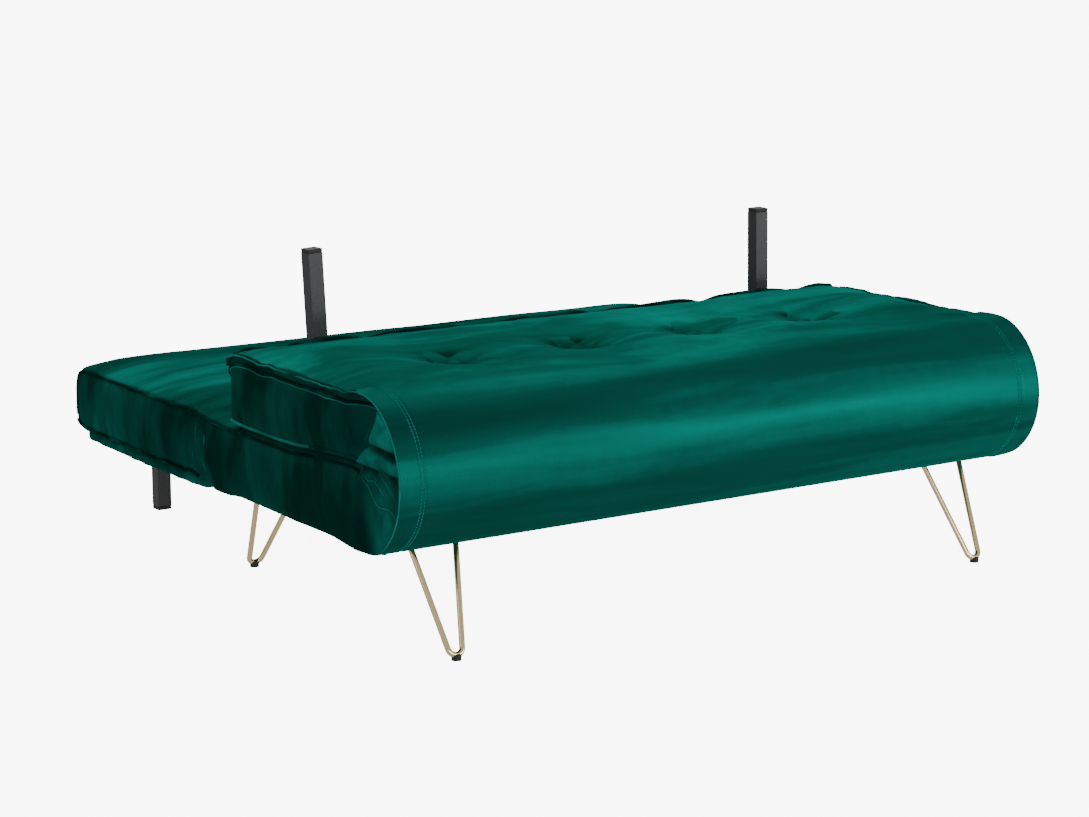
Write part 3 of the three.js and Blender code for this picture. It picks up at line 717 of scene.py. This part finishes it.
sub = belly.modifiers.new("smooth", "SUBSURF")
sub.levels = sub.render_levels = 1
settled(belly).data.shade_smooth()
dress(belly, belly_velvet, "back_section", ["back_underside_pad"])
print("belly:", len(belly.data.vertices), "points")

# %% [markdown]
# ## The long panel
# One cloth makes the seat top and the rounded front: it starts under the base, goes round the nose
# and over the top, and ends in the back seam. It follows the swollen cover beneath it, so the button
# hollows carry through.

# %% Trace the panel's path in the plane of an end
RISE = FLIP_HIGH.z - FOLD.z + 0.002
DROP = FOLD.z - BASE_LOW.z + 0.0006
NOSE = 0.105
CENTRE = FOLD.y + NOSE
PROUD = 0.0062  # the panel clears the fold-out hinge's knuckles


def panel_path(step):
    """Points and outward directions (y, z), evenly spaced, from under the base to the back seam."""
    dense = []
    for angle in np.linspace(-81, 90, 241):
        a = math.radians(angle)
        tall = RISE if a > 0 else DROP
        n = Vector((-math.cos(a) / (NOSE + PROUD), math.sin(a) / tall)).normalized()
        dense.append((CENTRE - (NOSE + PROUD) * math.cos(a), FOLD.z + tall * math.sin(a), n.x, n.y))
    roll = 0.030
    flat_end = FLIP_HIGH.y + 0.003 - roll
    for y in np.linspace(CENTRE, flat_end, 200)[1:]:
        dense.append((y, FOLD.z + RISE, 0, 1))
    for angle in np.linspace(0, 82, 20)[1:]:
        a = math.radians(angle)
        y, z = flat_end + roll * math.sin(a), FOLD.z + RISE - roll + roll * math.cos(a)
        dense.append((y, z, math.sin(a), math.cos(a)))
    dense = np.array(dense)
    lengths = np.concatenate([[0], np.cumsum(np.hypot(*np.diff(dense[:, :2], axis=0).T))])
    marks = np.linspace(0, lengths[-1], int(lengths[-1] / step) + 1)
    return np.stack([np.interp(marks, lengths, dense[:, i]) for i in range(4)], axis=1), lengths[-1]


path, PANEL_LENGTH = panel_path(0.0048)
print("panel path", round(PANEL_LENGTH, 4), "m in", len(path), "rows")

# %% Columns of the panel, closer together near its ends
EDGE = HALF + 0.0015
fine, coarse = ((0.0028, 0.0064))
side_run = np.arange(EDGE, EDGE - 0.06, -fine)
middle_run = np.linspace(side_run[-1] - coarse, -side_run[-1] + coarse, int(2 * side_run[-1] / coarse))
columns = np.sort(np.concatenate([side_run, -side_run, middle_run]))
print(len(columns), "columns")

# %% Lay the panel on the cover
tree = tree_of(flip)
CAST = HALF - 0.038  # nearer the ends the cover is drawn in, so the panel keeps the height it has here
grid = np.empty((len(path), len(columns), 3))
for i, (y, z, ny, nz) in enumerate(path):
    over = float(ease(y, CENTRE - 0.05, CENTRE + 0.05)) if z > FOLD.z else 0.0
    for j, x in enumerate(columns):
        spot = Vector((x, y, z))
        if over > 0:
            way = Vector((0, ny, nz)).normalized()
            at = Vector((max(-CAST, min(CAST, x)), y, z))
            hit = tree.ray_cast(at + way * 0.05, -way)[0]
            if hit:
                hit = hit + way * 0.0018
                spot = spot.lerp(Vector((x, hit.y, hit.z)), over)
        grid[i, j] = spot


def smooth_grid(grid, rounds):
    for _ in range(rounds):
        inner = grid[1:-1, 1:-1]
        around = grid[:-2, 1:-1] + grid[2:, 1:-1] + grid[1:-1, :-2] + grid[1:-1, 2:]
        grid[1:-1, 1:-1, 1:] = (0.5 * inner + 0.125 * around)[:, :, 1:]
    return grid


grid = smooth_grid(grid, 2)
print("panel's top at", round(float(grid[:, :, 2].max()), 4))

# %% Slack waves and stitch grooves on the panel
xs, ys, zs = (grid[:, :, i] for i in range(3))
normal = np.stack([np.gradient(zs, axis=0), -np.gradient(ys, axis=0)], axis=-1)
normal /= np.maximum(np.linalg.norm(normal, axis=-1, keepdims=True), 1e-9)
seat = ease(ys, CENTRE, CENTRE + 0.05) * (zs > FOLD.z)
nose = 1 - ease(ys, CENTRE + 0.01, CENTRE + 0.09)
flatpoints = grid.reshape(-1, 3)
lift = np.zeros_like(xs)
lift -= 0.0016 * (bell(np.abs(xs), HALF - 0.034, 0.0022) + bell(np.abs(xs), HALF - 0.0395, 0.0022)) * nose
lift += seat * 0.0011 * soft_noise(flatpoints * [0.35, 1, 0], 42, 5).reshape(xs.shape)
lift += seat * 0.0005 * soft_noise(flatpoints * [0.5, 1, 0], 120, 6).reshape(xs.shape)
print("waves lift the seat by up to", round(float(lift.max()), 4))

# %% Hollows and creases round the buttons
for n, spot in enumerate(BUTTONS):
    dx, dy = xs - spot.x, ys - spot.y
    r = np.hypot(dx, dy)
    angle = np.arctan2(dy, dx)
    creases = np.cos(angle * 5 + n * 1.3) + 0.8 * np.cos(angle * 2 + 0.3 * n)
    lift += seat * 0.0016 * creases * ease(r, 0.012, 0.03) * (1 - ease(r, 0.04, 0.09))
    lift -= seat * 0.006 * np.exp(-((dx / 0.07) ** 2 + (dy / 0.035) ** 2))
    lift -= seat * 0.007 * np.exp(-((r / 0.017) ** 4))
print("buttons sink the panel by up to", round(float(-lift.min()), 4))

# %% The panel sinks to its seams, with small pulls in the stitching
rim = ease(np.abs(xs), HALF - 0.045, EDGE)
lift -= seat * rim * (0.007 + 0.0005 * np.sin(ys * 90 + 2 * np.sin(ys * 31)))
PULLS = [-0.53, -0.36, -0.14, 0.08, 0.3, 0.5]
behind = ease(ys, FLIP_HIGH.y - 0.05, FLIP_HIGH.y - 0.004) * seat
for spot in PULLS:
    lift -= behind * 0.007 * bell(xs, spot, 0.03)
lift += behind * 0.003
grid[:, :, 1:] -= normal * lift[:, :, None]
tucked = ease(ys, FLIP_HIGH.y - 0.012, FLIP_HIGH.y + 0.002) * ease(np.abs(xs), HALF - 0.04, EDGE)
grid[:, :, 0] -= np.sign(xs) * 0.010 * tucked

# %% Below the nose the panel's corners are drawn in under the base
under = ease(ys, CENTRE - 0.06, CENTRE - 0.02) * (zs < FOLD.z) * ease(np.abs(xs), HALF - 0.07, EDGE)
grid[:, :, 0] -= np.sign(xs) * 0.028 * under
print("the panel starts", round(float(2 * grid[0, -1, 0]), 3), "m wide under the base")


# %% A sheet of cloth through a grid of points
def sheet_object(name, grid, thick, material):
    """Rows and columns of points become one cloth, with a real thickness below it."""
    rows, cols = grid.shape[:2]
    bm = bmesh.new()
    bmesh.ops.create_grid(bm, x_segments=cols - 1, y_segments=rows - 1, size=1)
    piece = add_object(name, bm, material)
    where = points_of(piece.data)
    j = np.rint((where[:, 0] + 1) / 2 * (cols - 1)).astype(int)
    i = np.rint((where[:, 1] + 1) / 2 * (rows - 1)).astype(int)
    put_points(piece.data, grid[i, j])
    wall = piece.modifiers.new("thickness", "SOLIDIFY")
    wall.thickness = thick
    wall.offset = -1
    settled(piece)
    piece.data.shade_smooth()
    return piece


panel = sheet_object("seat_panel", grid, 0.0016, panel_velvet)
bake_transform(panel)
print("panel:", len(panel.data.vertices), "points")

# %% [markdown]
# ## The strip between base and back
# The back section turns against the base, so the gap between them is closed by a loose strip of the
# same velvet, sewn to both. It lies over the gap when the back is down.

# %% Find the top of the back section
back_top = tree_of(back)
NEAR_END = HALF - 0.02
DOWN = Vector((0, 0, -1))


def top_of(x, y):
    hit = back_top.ray_cast(Vector((max(-NEAR_END, min(NEAR_END, x)), y, 0.5)), DOWN)[0]
    return hit.z if hit else 0.0


print("the back's top in its middle:", round(top_of(0, (BACK_LOW.y + BACK_HIGH.y) / 2), 4))

# %% Lay the strip from under the seat's back edge to the top of the back section
columns_across = np.linspace(-HALF + 0.003, HALF - 0.003, 130)
FRONT_Y, REAR_Y = FLIP_HIGH.y - 0.03, BACK_LOW.y + 0.085
bridge = np.empty((34, len(columns_across), 3))
for j, x in enumerate(columns_across):
    near, far = FOLD.z - 0.0006, top_of(x, REAR_Y) + 0.0006
    for i, t in enumerate(np.linspace(0, 1, len(bridge))):
        y = FRONT_Y + (REAR_Y - FRONT_Y) * t
        z = near + (far - near) * float(ease(t, 0.15, 1.0))
        if y > BACK_LOW.y + 0.012:
            z = max(z, top_of(x, y) + 0.0008)
        droop = 0.004 * float(ease(abs(x), HALF - 0.02, HALF))
        bridge[i, j] = (x, y, z - droop)
bridge = smooth_grid(bridge, 3)
strip = sheet_object("junction_strip", bridge, 0.0012, side_velvet)
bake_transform(strip)

# %% [markdown]
# ## Piping, edge lines and stitches
# A thin light line along the cut edge of the panel is a painted highlight, in a lit copy of the velvet. Darker
# piping, a shaded copy of the velvet, paints shade along the seams of the ends. Each row of stitches, also in the
# lit copy, is a run of very small bars, a few faces each, laid along the panel's surface.

# %% Tubes along a line
def tube(name, points, radius, material, sides=2, taper=None):
    curve = bpy.data.curves.new(name, "CURVE")
    curve.dimensions = "3D"
    curve.bevel_depth = radius
    curve.bevel_resolution = sides
    curve.use_fill_caps = True
    line = curve.splines.new("POLY")
    line.points.add(len(points) - 1)
    for n, (point, spot) in enumerate(zip(line.points, points)):
        point.co = (*spot, 1)
        point.radius = taper[n] if taper is not None else 1
    holder = bpy.data.objects.new(name, curve)
    bpy.context.scene.collection.objects.link(holder)
    graph = bpy.context.evaluated_depsgraph_get()
    mesh = bpy.data.meshes.new_from_object(holder.evaluated_get(graph))
    bpy.data.objects.remove(holder)
    return add_object(name, mesh, material)


# %% The cut edges of the panel
for hand, side in SIDES:
    edge = tube(f"edge_line_{hand}", grid[2:, 0 if side < 0 else -1], 0.0011, highlight_velvet)
    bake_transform(edge)
    print(edge.name, "with", len(edge.data.vertices), "points")


# %% Rows of stitches
STITCH_STEP = 0.0056
STITCH_LENGTH = 0.0042


def stitch_row(name, distance, hand, material):
    column = int(np.argmin(np.abs(columns - hand * (HALF - distance))))
    line = grid[4:, column]
    line = line[line[:, 1] < CENTRE + 0.075]
    lengths = np.concatenate([[0], np.cumsum(np.linalg.norm(np.diff(line, axis=0), axis=1))])
    bm = bmesh.new()
    for start in np.arange(0.004, lengths[-1] - 0.006, STITCH_STEP):
        ends = (start, start + STITCH_LENGTH)
        a, b = (Vector([np.interp(s, lengths, line[:, k]) for k in range(3)]) for s in ends)
        turn = (b - a).to_track_quat("Z", "Y").to_matrix().to_4x4()
        place = Matrix.Translation((a + b) / 2) @ turn
        bmesh.ops.create_cone(
            bm, cap_ends=True, segments=6, radius1=0.0009, radius2=0.0009,
            depth=(b - a).length, matrix=place,
        )
    piece = add_object(name, bm, material)
    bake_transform(piece)
    print(name, "with", len(piece.data.polygons), "faces")


for hand, side in SIDES:
    stitch_row(f"stitches_outer_{hand}", 0.034, side, highlight_velvet)
    stitch_row(f"stitches_inner_{hand}", 0.0395, side, highlight_velvet)

# %% [markdown]
# ## Seams that hug the covers
# A real seam is a row of stitches that pulls the cloth in, with a cord or a folded edge beside it. Each
# one here is a thin tube. Its line is first drawn roughly beside the cover. Then every point moves to
# the nearest place on the cover's skin, so that the seam sits in the cloth and not in the air.

# %% The skin of a cover
class Skin:
    """The outside of a cover, for laying seams on."""

    def __init__(self, piece):
        self.tree = tree_of(piece)

    def lay(self, spots, lift):
        """Each spot moved to the nearest place on the cover, then lifted off it along its normal."""
        out = []
        for spot in spots:
            place, way = self.tree.find_nearest(Vector(spot))[:2]
            out.append(place + way * lift)
        for _ in range(4):
            inner = [(a + b * 2 + c) / 4 for a, b, c in zip(out, out[1:], out[2:])]
            out = [out[0]] + inner + [out[-1]]
        return out


FLIP_SKIN, BASE_SKIN, BACK_SKIN = (Skin(piece) for piece in (flip, base, back))
OUT = HALF + 0.004  # lines start just outside the ends
print("skins ready, lines start at x", round(OUT, 3))

# %% Lines for seams
def wavy(points, size, rate, phase=0.0):
    """A line with an uneven waver along its height, as a sewn seam has."""
    out = []
    for x, y, z in points:
        swing = math.sin(y * rate + phase) + 0.6 * math.sin(y * rate * 1.7 + 2.1 * phase)
        out.append((x, y + size * 0.4 * math.cos(y * rate * 0.8), z + size * swing))
    return out


def run(a, b, count):
    return [tuple(Vector(a).lerp(Vector(b), t)) for t in np.linspace(0, 1, count)]


def raised(points):
    return [(x, y, z + float(corner_rise(x, y))) for x, y, z in points]


def seam(name, line, radius, finish, body, sides=2, taper=None):
    piece = tube(name, line, radius, finish, sides, taper=taper)
    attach(piece, body)


# %% Seams on the ends of the fold-out section
def fold_out_seams(hand, side):
    x = side * OUT
    column = grid[:, 0 if side < 0 else -1]
    upper = [p for p in column if p[2] > FOLD.z + 0.09 and p[1] < FLIP_HIGH.y - 0.004]
    top = [(x, p[1], p[2] - 0.012) for p in upper]
    light = [(a, b, c - 0.0045) for a, b, c in top]
    lower = raised(run((x, FLIP_HIGH.y - 0.01, FOLD.z + 0.006), (x, KNOT[0] + 0.15, FOLD.z + 0.004), 70))
    inner = raised(run((x, KNOT[0] + 0.16, FOLD.z + 0.005), (x, KNOT[0] + 0.006, FOLD.z + 0.004), 50))
    # each seam: its name and line, the size and rate of its waver, its lift, thickness and finish
    for name, line, waver, rate, high, thick, finish in (
        ("top_seam", top, 0.0004, 60, 0.0006, 0.0026, shaded_seam_velvet),
        ("top_line", light, 0.0004, 60, 0.0004, 0.0009, highlight_velvet),
        ("lower_seam", lower, 0.0003, 50, 0.0012, 0.0026, highlight_velvet),
        ("inner_seam", inner, 0.0008, 70, 0.0008, 0.0018, side_velvet),
    ):
        laid = FLIP_SKIN.lay(wavy(line, waver, rate), high)
        seam(f"fold_out_{name}_{hand}", laid, thick, finish, "fold_out_section")


# %% Seams on the ends of the base
def base_seams(hand, side):
    x = side * OUT
    pair = ((0.0035, 0.0026, shaded_seam_velvet), (0.0085, 0.0012, side_velvet))
    for n, (down, thick, finish) in enumerate(pair):
        z = FOLD.z - down
        line = raised(run((x, BASE_HIGH.y - 0.004, z), (x, KNOT[0] + 0.006, z), 110))
        laid = BASE_SKIN.lay(wavy(line, 0.0006, 65, n), 0.0006)
        seam(f"base_top_seam_{n}_{hand}", laid, thick, finish, "base")


# %% Seams on the ends of the back section
BACK_ROUND = 0.03
BACK_TURN = 0.034  # from the outside to the middle of the rounded corner


def back_outline():
    """The upper edge of an end, from its front round the rear corner and down, as (y, z)."""
    turn_y, turn_z = BACK_HIGH.y - BACK_TURN, BACK_HIGH.z - BACK_TURN
    outline = [(y, BACK_HIGH.z - 0.004) for y in np.linspace(BACK_LOW.y + 0.002, turn_y, 80)]
    for a in np.linspace(0.1, math.pi / 2, 14):
        outline.append((turn_y + BACK_ROUND * math.sin(a), turn_z + BACK_ROUND * math.cos(a)))
    for z in np.linspace(BACK_HIGH.z - 0.04, BACK_LOW.z + 0.03, 12):
        outline.append((BACK_HIGH.y - 0.004, z))
    return outline


def back_seams(hand, side):
    x = side * OUT
    pair = ((0.0, 0.0028, shaded_seam_velvet), (0.006, 0.0012, side_velvet))
    for n, (down, thick, finish) in enumerate(pair):
        line = [(x, y - (down if z < BACK_HIGH.z - 0.03 else 0), z - down) for y, z in back_outline()]
        laid = BACK_SKIN.lay(wavy(line, 0.0005, 55, n), 0.0006)
        seam(f"back_top_seam_{n}_{hand}", laid, thick, finish, "back_section")
    low = []
    for y in np.linspace(BACK_LOW.y + 0.004, BACK_HIGH.y - 0.012, 120):
        low.append((x, y, BACK_LOW.z + 0.010 + 0.012 * float(ease(y, BACK_HIGH.y - 0.07, BACK_HIGH.y))))
    laid = BACK_SKIN.lay(wavy(low, 0.0016, 130), 0.0014)
    seam(f"back_lower_seam_{hand}", laid, 0.0032, shaded_seam_velvet, "back_section")


for hand, side in SIDES:
    fold_out_seams(hand, side)
    base_seams(hand, side)
    back_seams(hand, side)

# %% [markdown]
# ## Rolls of spare cloth
# Where the seat's sheet is sewn to the rear face of its section, the spare cloth rolls up into a thick
# cord, painted dark as shade, that the stitches pull in every few hands. A thinner roll runs along each end of the
# seat.
# Both are tubes whose thickness follows a curve along their length.

# %% The roll along the back seam of the seat, painted dark as shade, pulled in at each stitch point
roll_x = np.linspace(-HALF + 0.012, HALF - 0.012, 240)
stops = np.array([-HALF] + PULLS + [HALF])
taper = []
for x in roll_x:
    k = int(np.searchsorted(stops, x, side="right")) - 1
    t = (x - stops[k]) / (stops[k + 1] - stops[k])
    taper.append(0.7 + 0.5 * t * (1 - float(ease(t, 0.9, 1.0))))
row = int(np.argmin(np.abs(path[:, 0] - (FLIP_HIGH.y - 0.012)) + (path[:, 1] < FOLD.z)))
line = [(x, *(np.interp(x, columns, grid[row, :, k]) for k in (1, 2))) for x in roll_x]
seam("seat_back_seam", line, 0.0068, shaded_seam_velvet, "fold_out_section", 4, taper)
print("back roll pulled in at", PULLS)

# %% The soft roll of spare cloth along each end of the seat
for hand, side in SIDES:
    rows = [p for p in grid[:, 0 if side < 0 else -1] if p[2] > FOLD.z]
    rows = [p for p in rows if CENTRE + 0.015 < p[1] < FLIP_HIGH.y - 0.03]
    places = np.linspace(1, 0, len(rows))
    taper = 0.4 + 0.15 * bell(places, 0.12, 0.09) + 0.6 * bell(places, 0.52, 0.1)
    taper = taper + 0.15 * bell(places, 0.8, 0.06)
    line = [(p[0] - side * 0.005, p[1], p[2] - 0.0005) for p in rows]
    seam(f"seat_end_roll_{hand}", line, 0.0064, side_velvet, "fold_out_section", 4, taper)
    print("end roll", hand, "with", len(rows), "points")

# %% [markdown]
# ## The bunched corners
# Between the knot and the panel's edge a triangle of cloth turns over itself, painted brighter as a highlight and
# darker as shade in its hollow, and a few sharp creases run from the knot to the panel, drawn as thin painted
# highlight lines. The triangle is one small sheet.
# Its points are worked out from two running numbers: u goes from the inner edge to the panel, v from the top down
# to the knot.

# %% The shape of the turned-over triangle
FLAP_TOP, FLAP_LOW = math.radians(62), math.radians(8)
FLAP_TALL = RISE - 0.004
FLAP_REACH = NOSE + 0.001


def rim_point(angle):
    """A point (y, z) of the triangle's front edge, which follows the round of the nose."""
    return CENTRE - FLAP_REACH * math.cos(angle), FOLD.z + FLAP_TALL * math.sin(angle)


def flap_relief(u, v):
    """How far the triangle stands out: a dome, a deep hollow near the knot, and a lip below it."""
    tuck = -0.0015 - 0.004 * u
    dome = 0.006 * math.sin(math.pi * min(1, u * 1.1)) * math.sin(math.pi * v) ** 0.7
    deep = math.exp(-(((v - 0.72 - 0.06 * u) / 0.085) ** 2))
    hollow = 0.016 * deep * math.sin(math.pi * min(1, 0.08 + u)) ** 0.5
    lip = 0.004 * math.exp(-(((v - 0.90) / 0.05) ** 2)) * math.sin(math.pi * u) ** 0.5
    return tuck + dome - hollow + lip


def flap_grid(side):
    cloth = np.empty((26, 30, 3))
    start_y, start_z = rim_point(FLAP_TOP)
    for i, v in enumerate(np.linspace(0, 1, 26)):
        rim_y, rim_z = rim_point(FLAP_TOP + (FLAP_LOW - FLAP_TOP) * v)
        inner_y = start_y + (KNOT[0] - start_y) * v - 0.010 * math.sin(math.pi * v)
        inner_z = start_z + (KNOT[1] + 0.004 - start_z) * v + 0.004 * math.sin(math.pi * v)
        for j, u in enumerate(np.linspace(0, 1, 30)):
            y, z = inner_y + (rim_y - inner_y) * u, inner_z + (rim_z - inner_z) * u
            cloth[i, j] = (side * (HALF + flap_relief(u, v)), y, z)
    return cloth


print("deepest point of the hollow:", round(min(flap_relief(u / 9, 0.75) for u in range(10)), 4))

# %% The knot and the creases that run from it
CREASE_WAYS = ((-2.66, 0.075, 0.01), (-2.30, 0.11, -0.03))  # which way, how long, how bowed


def corner_knot(hand, side):
    bm = bmesh.new()
    bmesh.ops.create_icosphere(bm, subdivisions=4, radius=0.0085)
    knot = add_object(f"corner_knot_{hand}", bm, side_velvet)
    points = points_of(knot.data)
    angle = np.arctan2(points[:, 2], points[:, 1])
    pleats = 0.16 * np.sin(angle * 6 + 1.3 * np.sin(angle * 2)) + 0.12 * np.sin(points[:, 0] * 700)
    points *= (1 + pleats)[:, None]
    points *= [0.6, 1.1, 0.9]
    put_points(knot.data, points + [side * (HALF - 0.013), KNOT[0] + 0.002, KNOT[1] - 0.004])
    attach(knot, "base")


def corner_creases(hand, side):
    shape = [math.sin(math.pi * t) ** 0.6 + 0.05 for t in np.linspace(0.06, 0.97, 30)]
    for n, (way, length, bow) in enumerate(CREASE_WAYS):
        spots = []
        for t in np.linspace(0.1, 1, 30):
            a = way + bow * 12 * (t - 0.5) * t
            y, z = length * t * math.cos(a), length * t * math.sin(a)
            spots.append((side * OUT, KNOT[0] + y, KNOT[1] - 0.006 + z))
        laid = BASE_SKIN.lay(spots, 0.0002)
        seam(f"corner_crease_{n}_{hand}", laid, 0.0010, highlight_velvet, "base", taper=shape)


# %% Make both corners
for hand, side in SIDES:
    cloth = flap_grid(side)
    flap = sheet_object(f"corner_flap_{hand}", cloth, 0.0014, flap_light_and_shade_velvet)
    seam(f"corner_line_{hand}", cloth[1:-1, 0], 0.0008, highlight_velvet, "fold_out_section")
    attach(flap, "fold_out_section")
    corner_knot(hand, side)
    corner_creases(hand, side)
    print("corner", hand, "has a flap of", len(flap.data.vertices), "points")

# %% [markdown]
# ## Creases where base and back meet
# Velvet that is squeezed between two cushions shows short bright creases where their ridges catch the light. Each
# is painted as a highlight:
# a thin tapered tube in a lighter copy of the velvet, laid on the cover that it belongs to so that it moves with
# it.

# %% Short creases on both sides of the meeting line
# each crease: the cover and its body, how far behind the line, how far below the fold, how tall
MEETING = (
    (BACK_SKIN, "back_section", 0.009, 0.018, 0.030), (BACK_SKIN, "back_section", 0.016, 0.062, 0.024),
    (BASE_SKIN, "base", -0.011, 0.070, 0.020), (BASE_SKIN, "base", -0.014, 0.030, 0.016),
)
shape = [math.sin(math.pi * t) ** 0.6 + 0.05 for t in np.linspace(0.06, 0.94, 16)]
for hand, side in SIDES:
    for n, (skin, body, shift, top, tall) in enumerate(MEETING):
        spots = []
        for t in np.linspace(0, 1, 16):
            spots.append((side * OUT, MEET + shift + 0.004 * math.sin(3.5 * t + n), FOLD.z - top - tall * t))
        laid = skin.lay(spots, 0.0001)
        seam(f"meeting_crease_{n}_{hand}", laid, 0.0009, crease_highlight_velvet, body, taper=shape)
print(2 * len(MEETING), "creases at the meeting line")

# %% [markdown]
# ## Hairpin legs
# A hairpin leg is one steel rod, bent round a former at the foot and welded to a plate at its two
# ends. The frame's own rods are faceted, so each is replaced by a smooth round one in the same place:
# two straight runs and one arc, all worked out from the frame's box for that rod and its foot.

# %% The four legs in smooth round rod
ROD = 0.0045
BEND_RADIUS = 0.012


def hairpin_line(end, hand):
    low, high = (Vector(c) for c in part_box(f"hairpin_{end}_{hand}"))
    cap_low, cap_high = (Vector(c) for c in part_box(f"foot_cap_{end}_{hand}"))
    foot = (cap_low + cap_high) / 2
    foot.z = low.z + ROD
    top_y = high.y - ROD if end == "front" else low.y + ROD
    top = Vector(((low.x + high.x) / 2, top_y, high.z))
    spread = (high.x - low.x) / 2 - ROD
    up = (top - foot).normalized()
    wide = (Vector((1, 0, 0)) - up * up.x).normalized()
    centre = foot + up * BEND_RADIUS
    rise = (top - centre).length
    tilt = math.atan2(spread, rise) - math.asin(BEND_RADIUS / math.hypot(rise, spread))
    reach = math.pi / 2 - tilt
    arc = []
    for a in np.linspace(-reach, reach, 25):
        arc.append(centre + wide * BEND_RADIUS * math.sin(a) - up * BEND_RADIUS * math.cos(a))
    return [top - wide * spread, *arc, top + wide * spread]


for end in ("front", "back"):
    for hand, _ in SIDES:
        leg = tube(f"smooth_hairpin_{end}_{hand}", hairpin_line(end, hand), ROD, gold, 6)
        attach(leg, "base")
        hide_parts(f"hairpin_{end}_{hand}")
        print(leg.name, "with", len(leg.data.vertices), "points")

# %% [markdown]
# ## Square tubes
# Square steel tube is rolled, so its corners are never sharp. The frame's tubes are: a modifier first
# joins the doubled corner points, then a small bevel rounds every sharp edge.

# %% Soften the corners of the square tubes
softened = []
for name, node in frame["nodes"].items():
    if name.startswith(("support_", "back_leg_", "leg_bracket")):
        weld = node.modifiers.new("weld", "WELD")
        weld.merge_threshold = 0.00005
        soft = node.modifiers.new("corners", "BEVEL")
        soft.width = 0.0009
        soft.segments = 2
        soft.limit_method = "ANGLE"
        soft.angle_limit = math.radians(40)
        softened.append(name)
print(len(softened), "tubes and brackets softened")

# %% [markdown]
# ## The studio
# A pale floor that glows evenly gives a white ground with hardly any shadow. It is kept out of
# reflections, or it would wash out the velvet. A broad light overhead shows the seat, a long strip in
# front draws the gleam along the roll, a low strip opens up its underside, and a small light fills the
# left end.

# %% The floor
FLOOR_SIZE = 90
floor_finish = Finish("pale_floor")
grain = floor_finish.noise(0.6, 2.0, 0.5)
floor_finish.set(
    Base_Color=floor_finish.blend_colours(grain, (0.93, 0.93, 0.93), (0.95, 0.95, 0.95)),
    Roughness=0.9, Specular_IOR_Level=0.0, Emission_Color=(1, 1, 1, 1), Emission_Strength=8.0,
)
bm = bmesh.new()
bmesh.ops.create_grid(bm, x_segments=1, y_segments=1, size=FLOOR_SIZE)
floor = add_object("floor", bm, floor_finish.material, smooth=False)
floor.visible_diffuse = False
floor.visible_glossy = False
print("floor", 2 * FLOOR_SIZE, "m wide")

# %% The lights
world = bpy.data.worlds.new("studio")
bpy.context.scene.world = world
world.use_nodes = True
world.node_tree.nodes["Background"].inputs[0].default_value = (1, 1, 1, 1)
world.node_tree.nodes["Background"].inputs[1].default_value = 0.5


def area_light(name, place, target, size, power):
    data = bpy.data.lights.new(name, "AREA")
    data.shape = "RECTANGLE"
    data.size, data.size_y = size
    data.energy = power
    light = bpy.data.objects.new(name, data)
    light.location = place
    light.rotation_euler = (Vector(target) - Vector(place)).to_track_quat("-Z", "Y").to_euler()
    bpy.context.scene.collection.objects.link(light)
    print(name, power, "W")


area_light("overhead", (0.8, 2.0, 3.4), (0, -0.2, 0.3), (3.5, 2.0), 100)
area_light("front_strip", (0.7, -3.8, 1.0), (0.0, -0.55, 0.27), (5.4, 0.8), 84)
area_light("low_strip", (1.8, -3.4, 0.16), (0.1, -0.5, 0.16), (3.5, 0.2), 26)
area_light("left_fill", (-4.0, -0.6, 1.2), (-0.6, 0, 0.25), (1.6, 1.6), 25)

# %% The camera
YAW, PITCH = math.radians(33.52), math.radians(11.64)
camera_data = bpy.data.cameras.new("camera")
camera_data.sensor_width = 36
camera_data.lens = 89.848
camera_data.clip_end = 400
camera = bpy.data.objects.new("camera", camera_data)
camera.location = (-2.456, FOLD.y - 3.169, 1.1384)
camera.rotation_euler = (math.pi / 2 - PITCH, 0, -YAW)
bpy.context.scene.collection.objects.link(camera)
bpy.context.scene.camera = camera
print("camera at", tuple(round(c, 3) for c in camera.location))
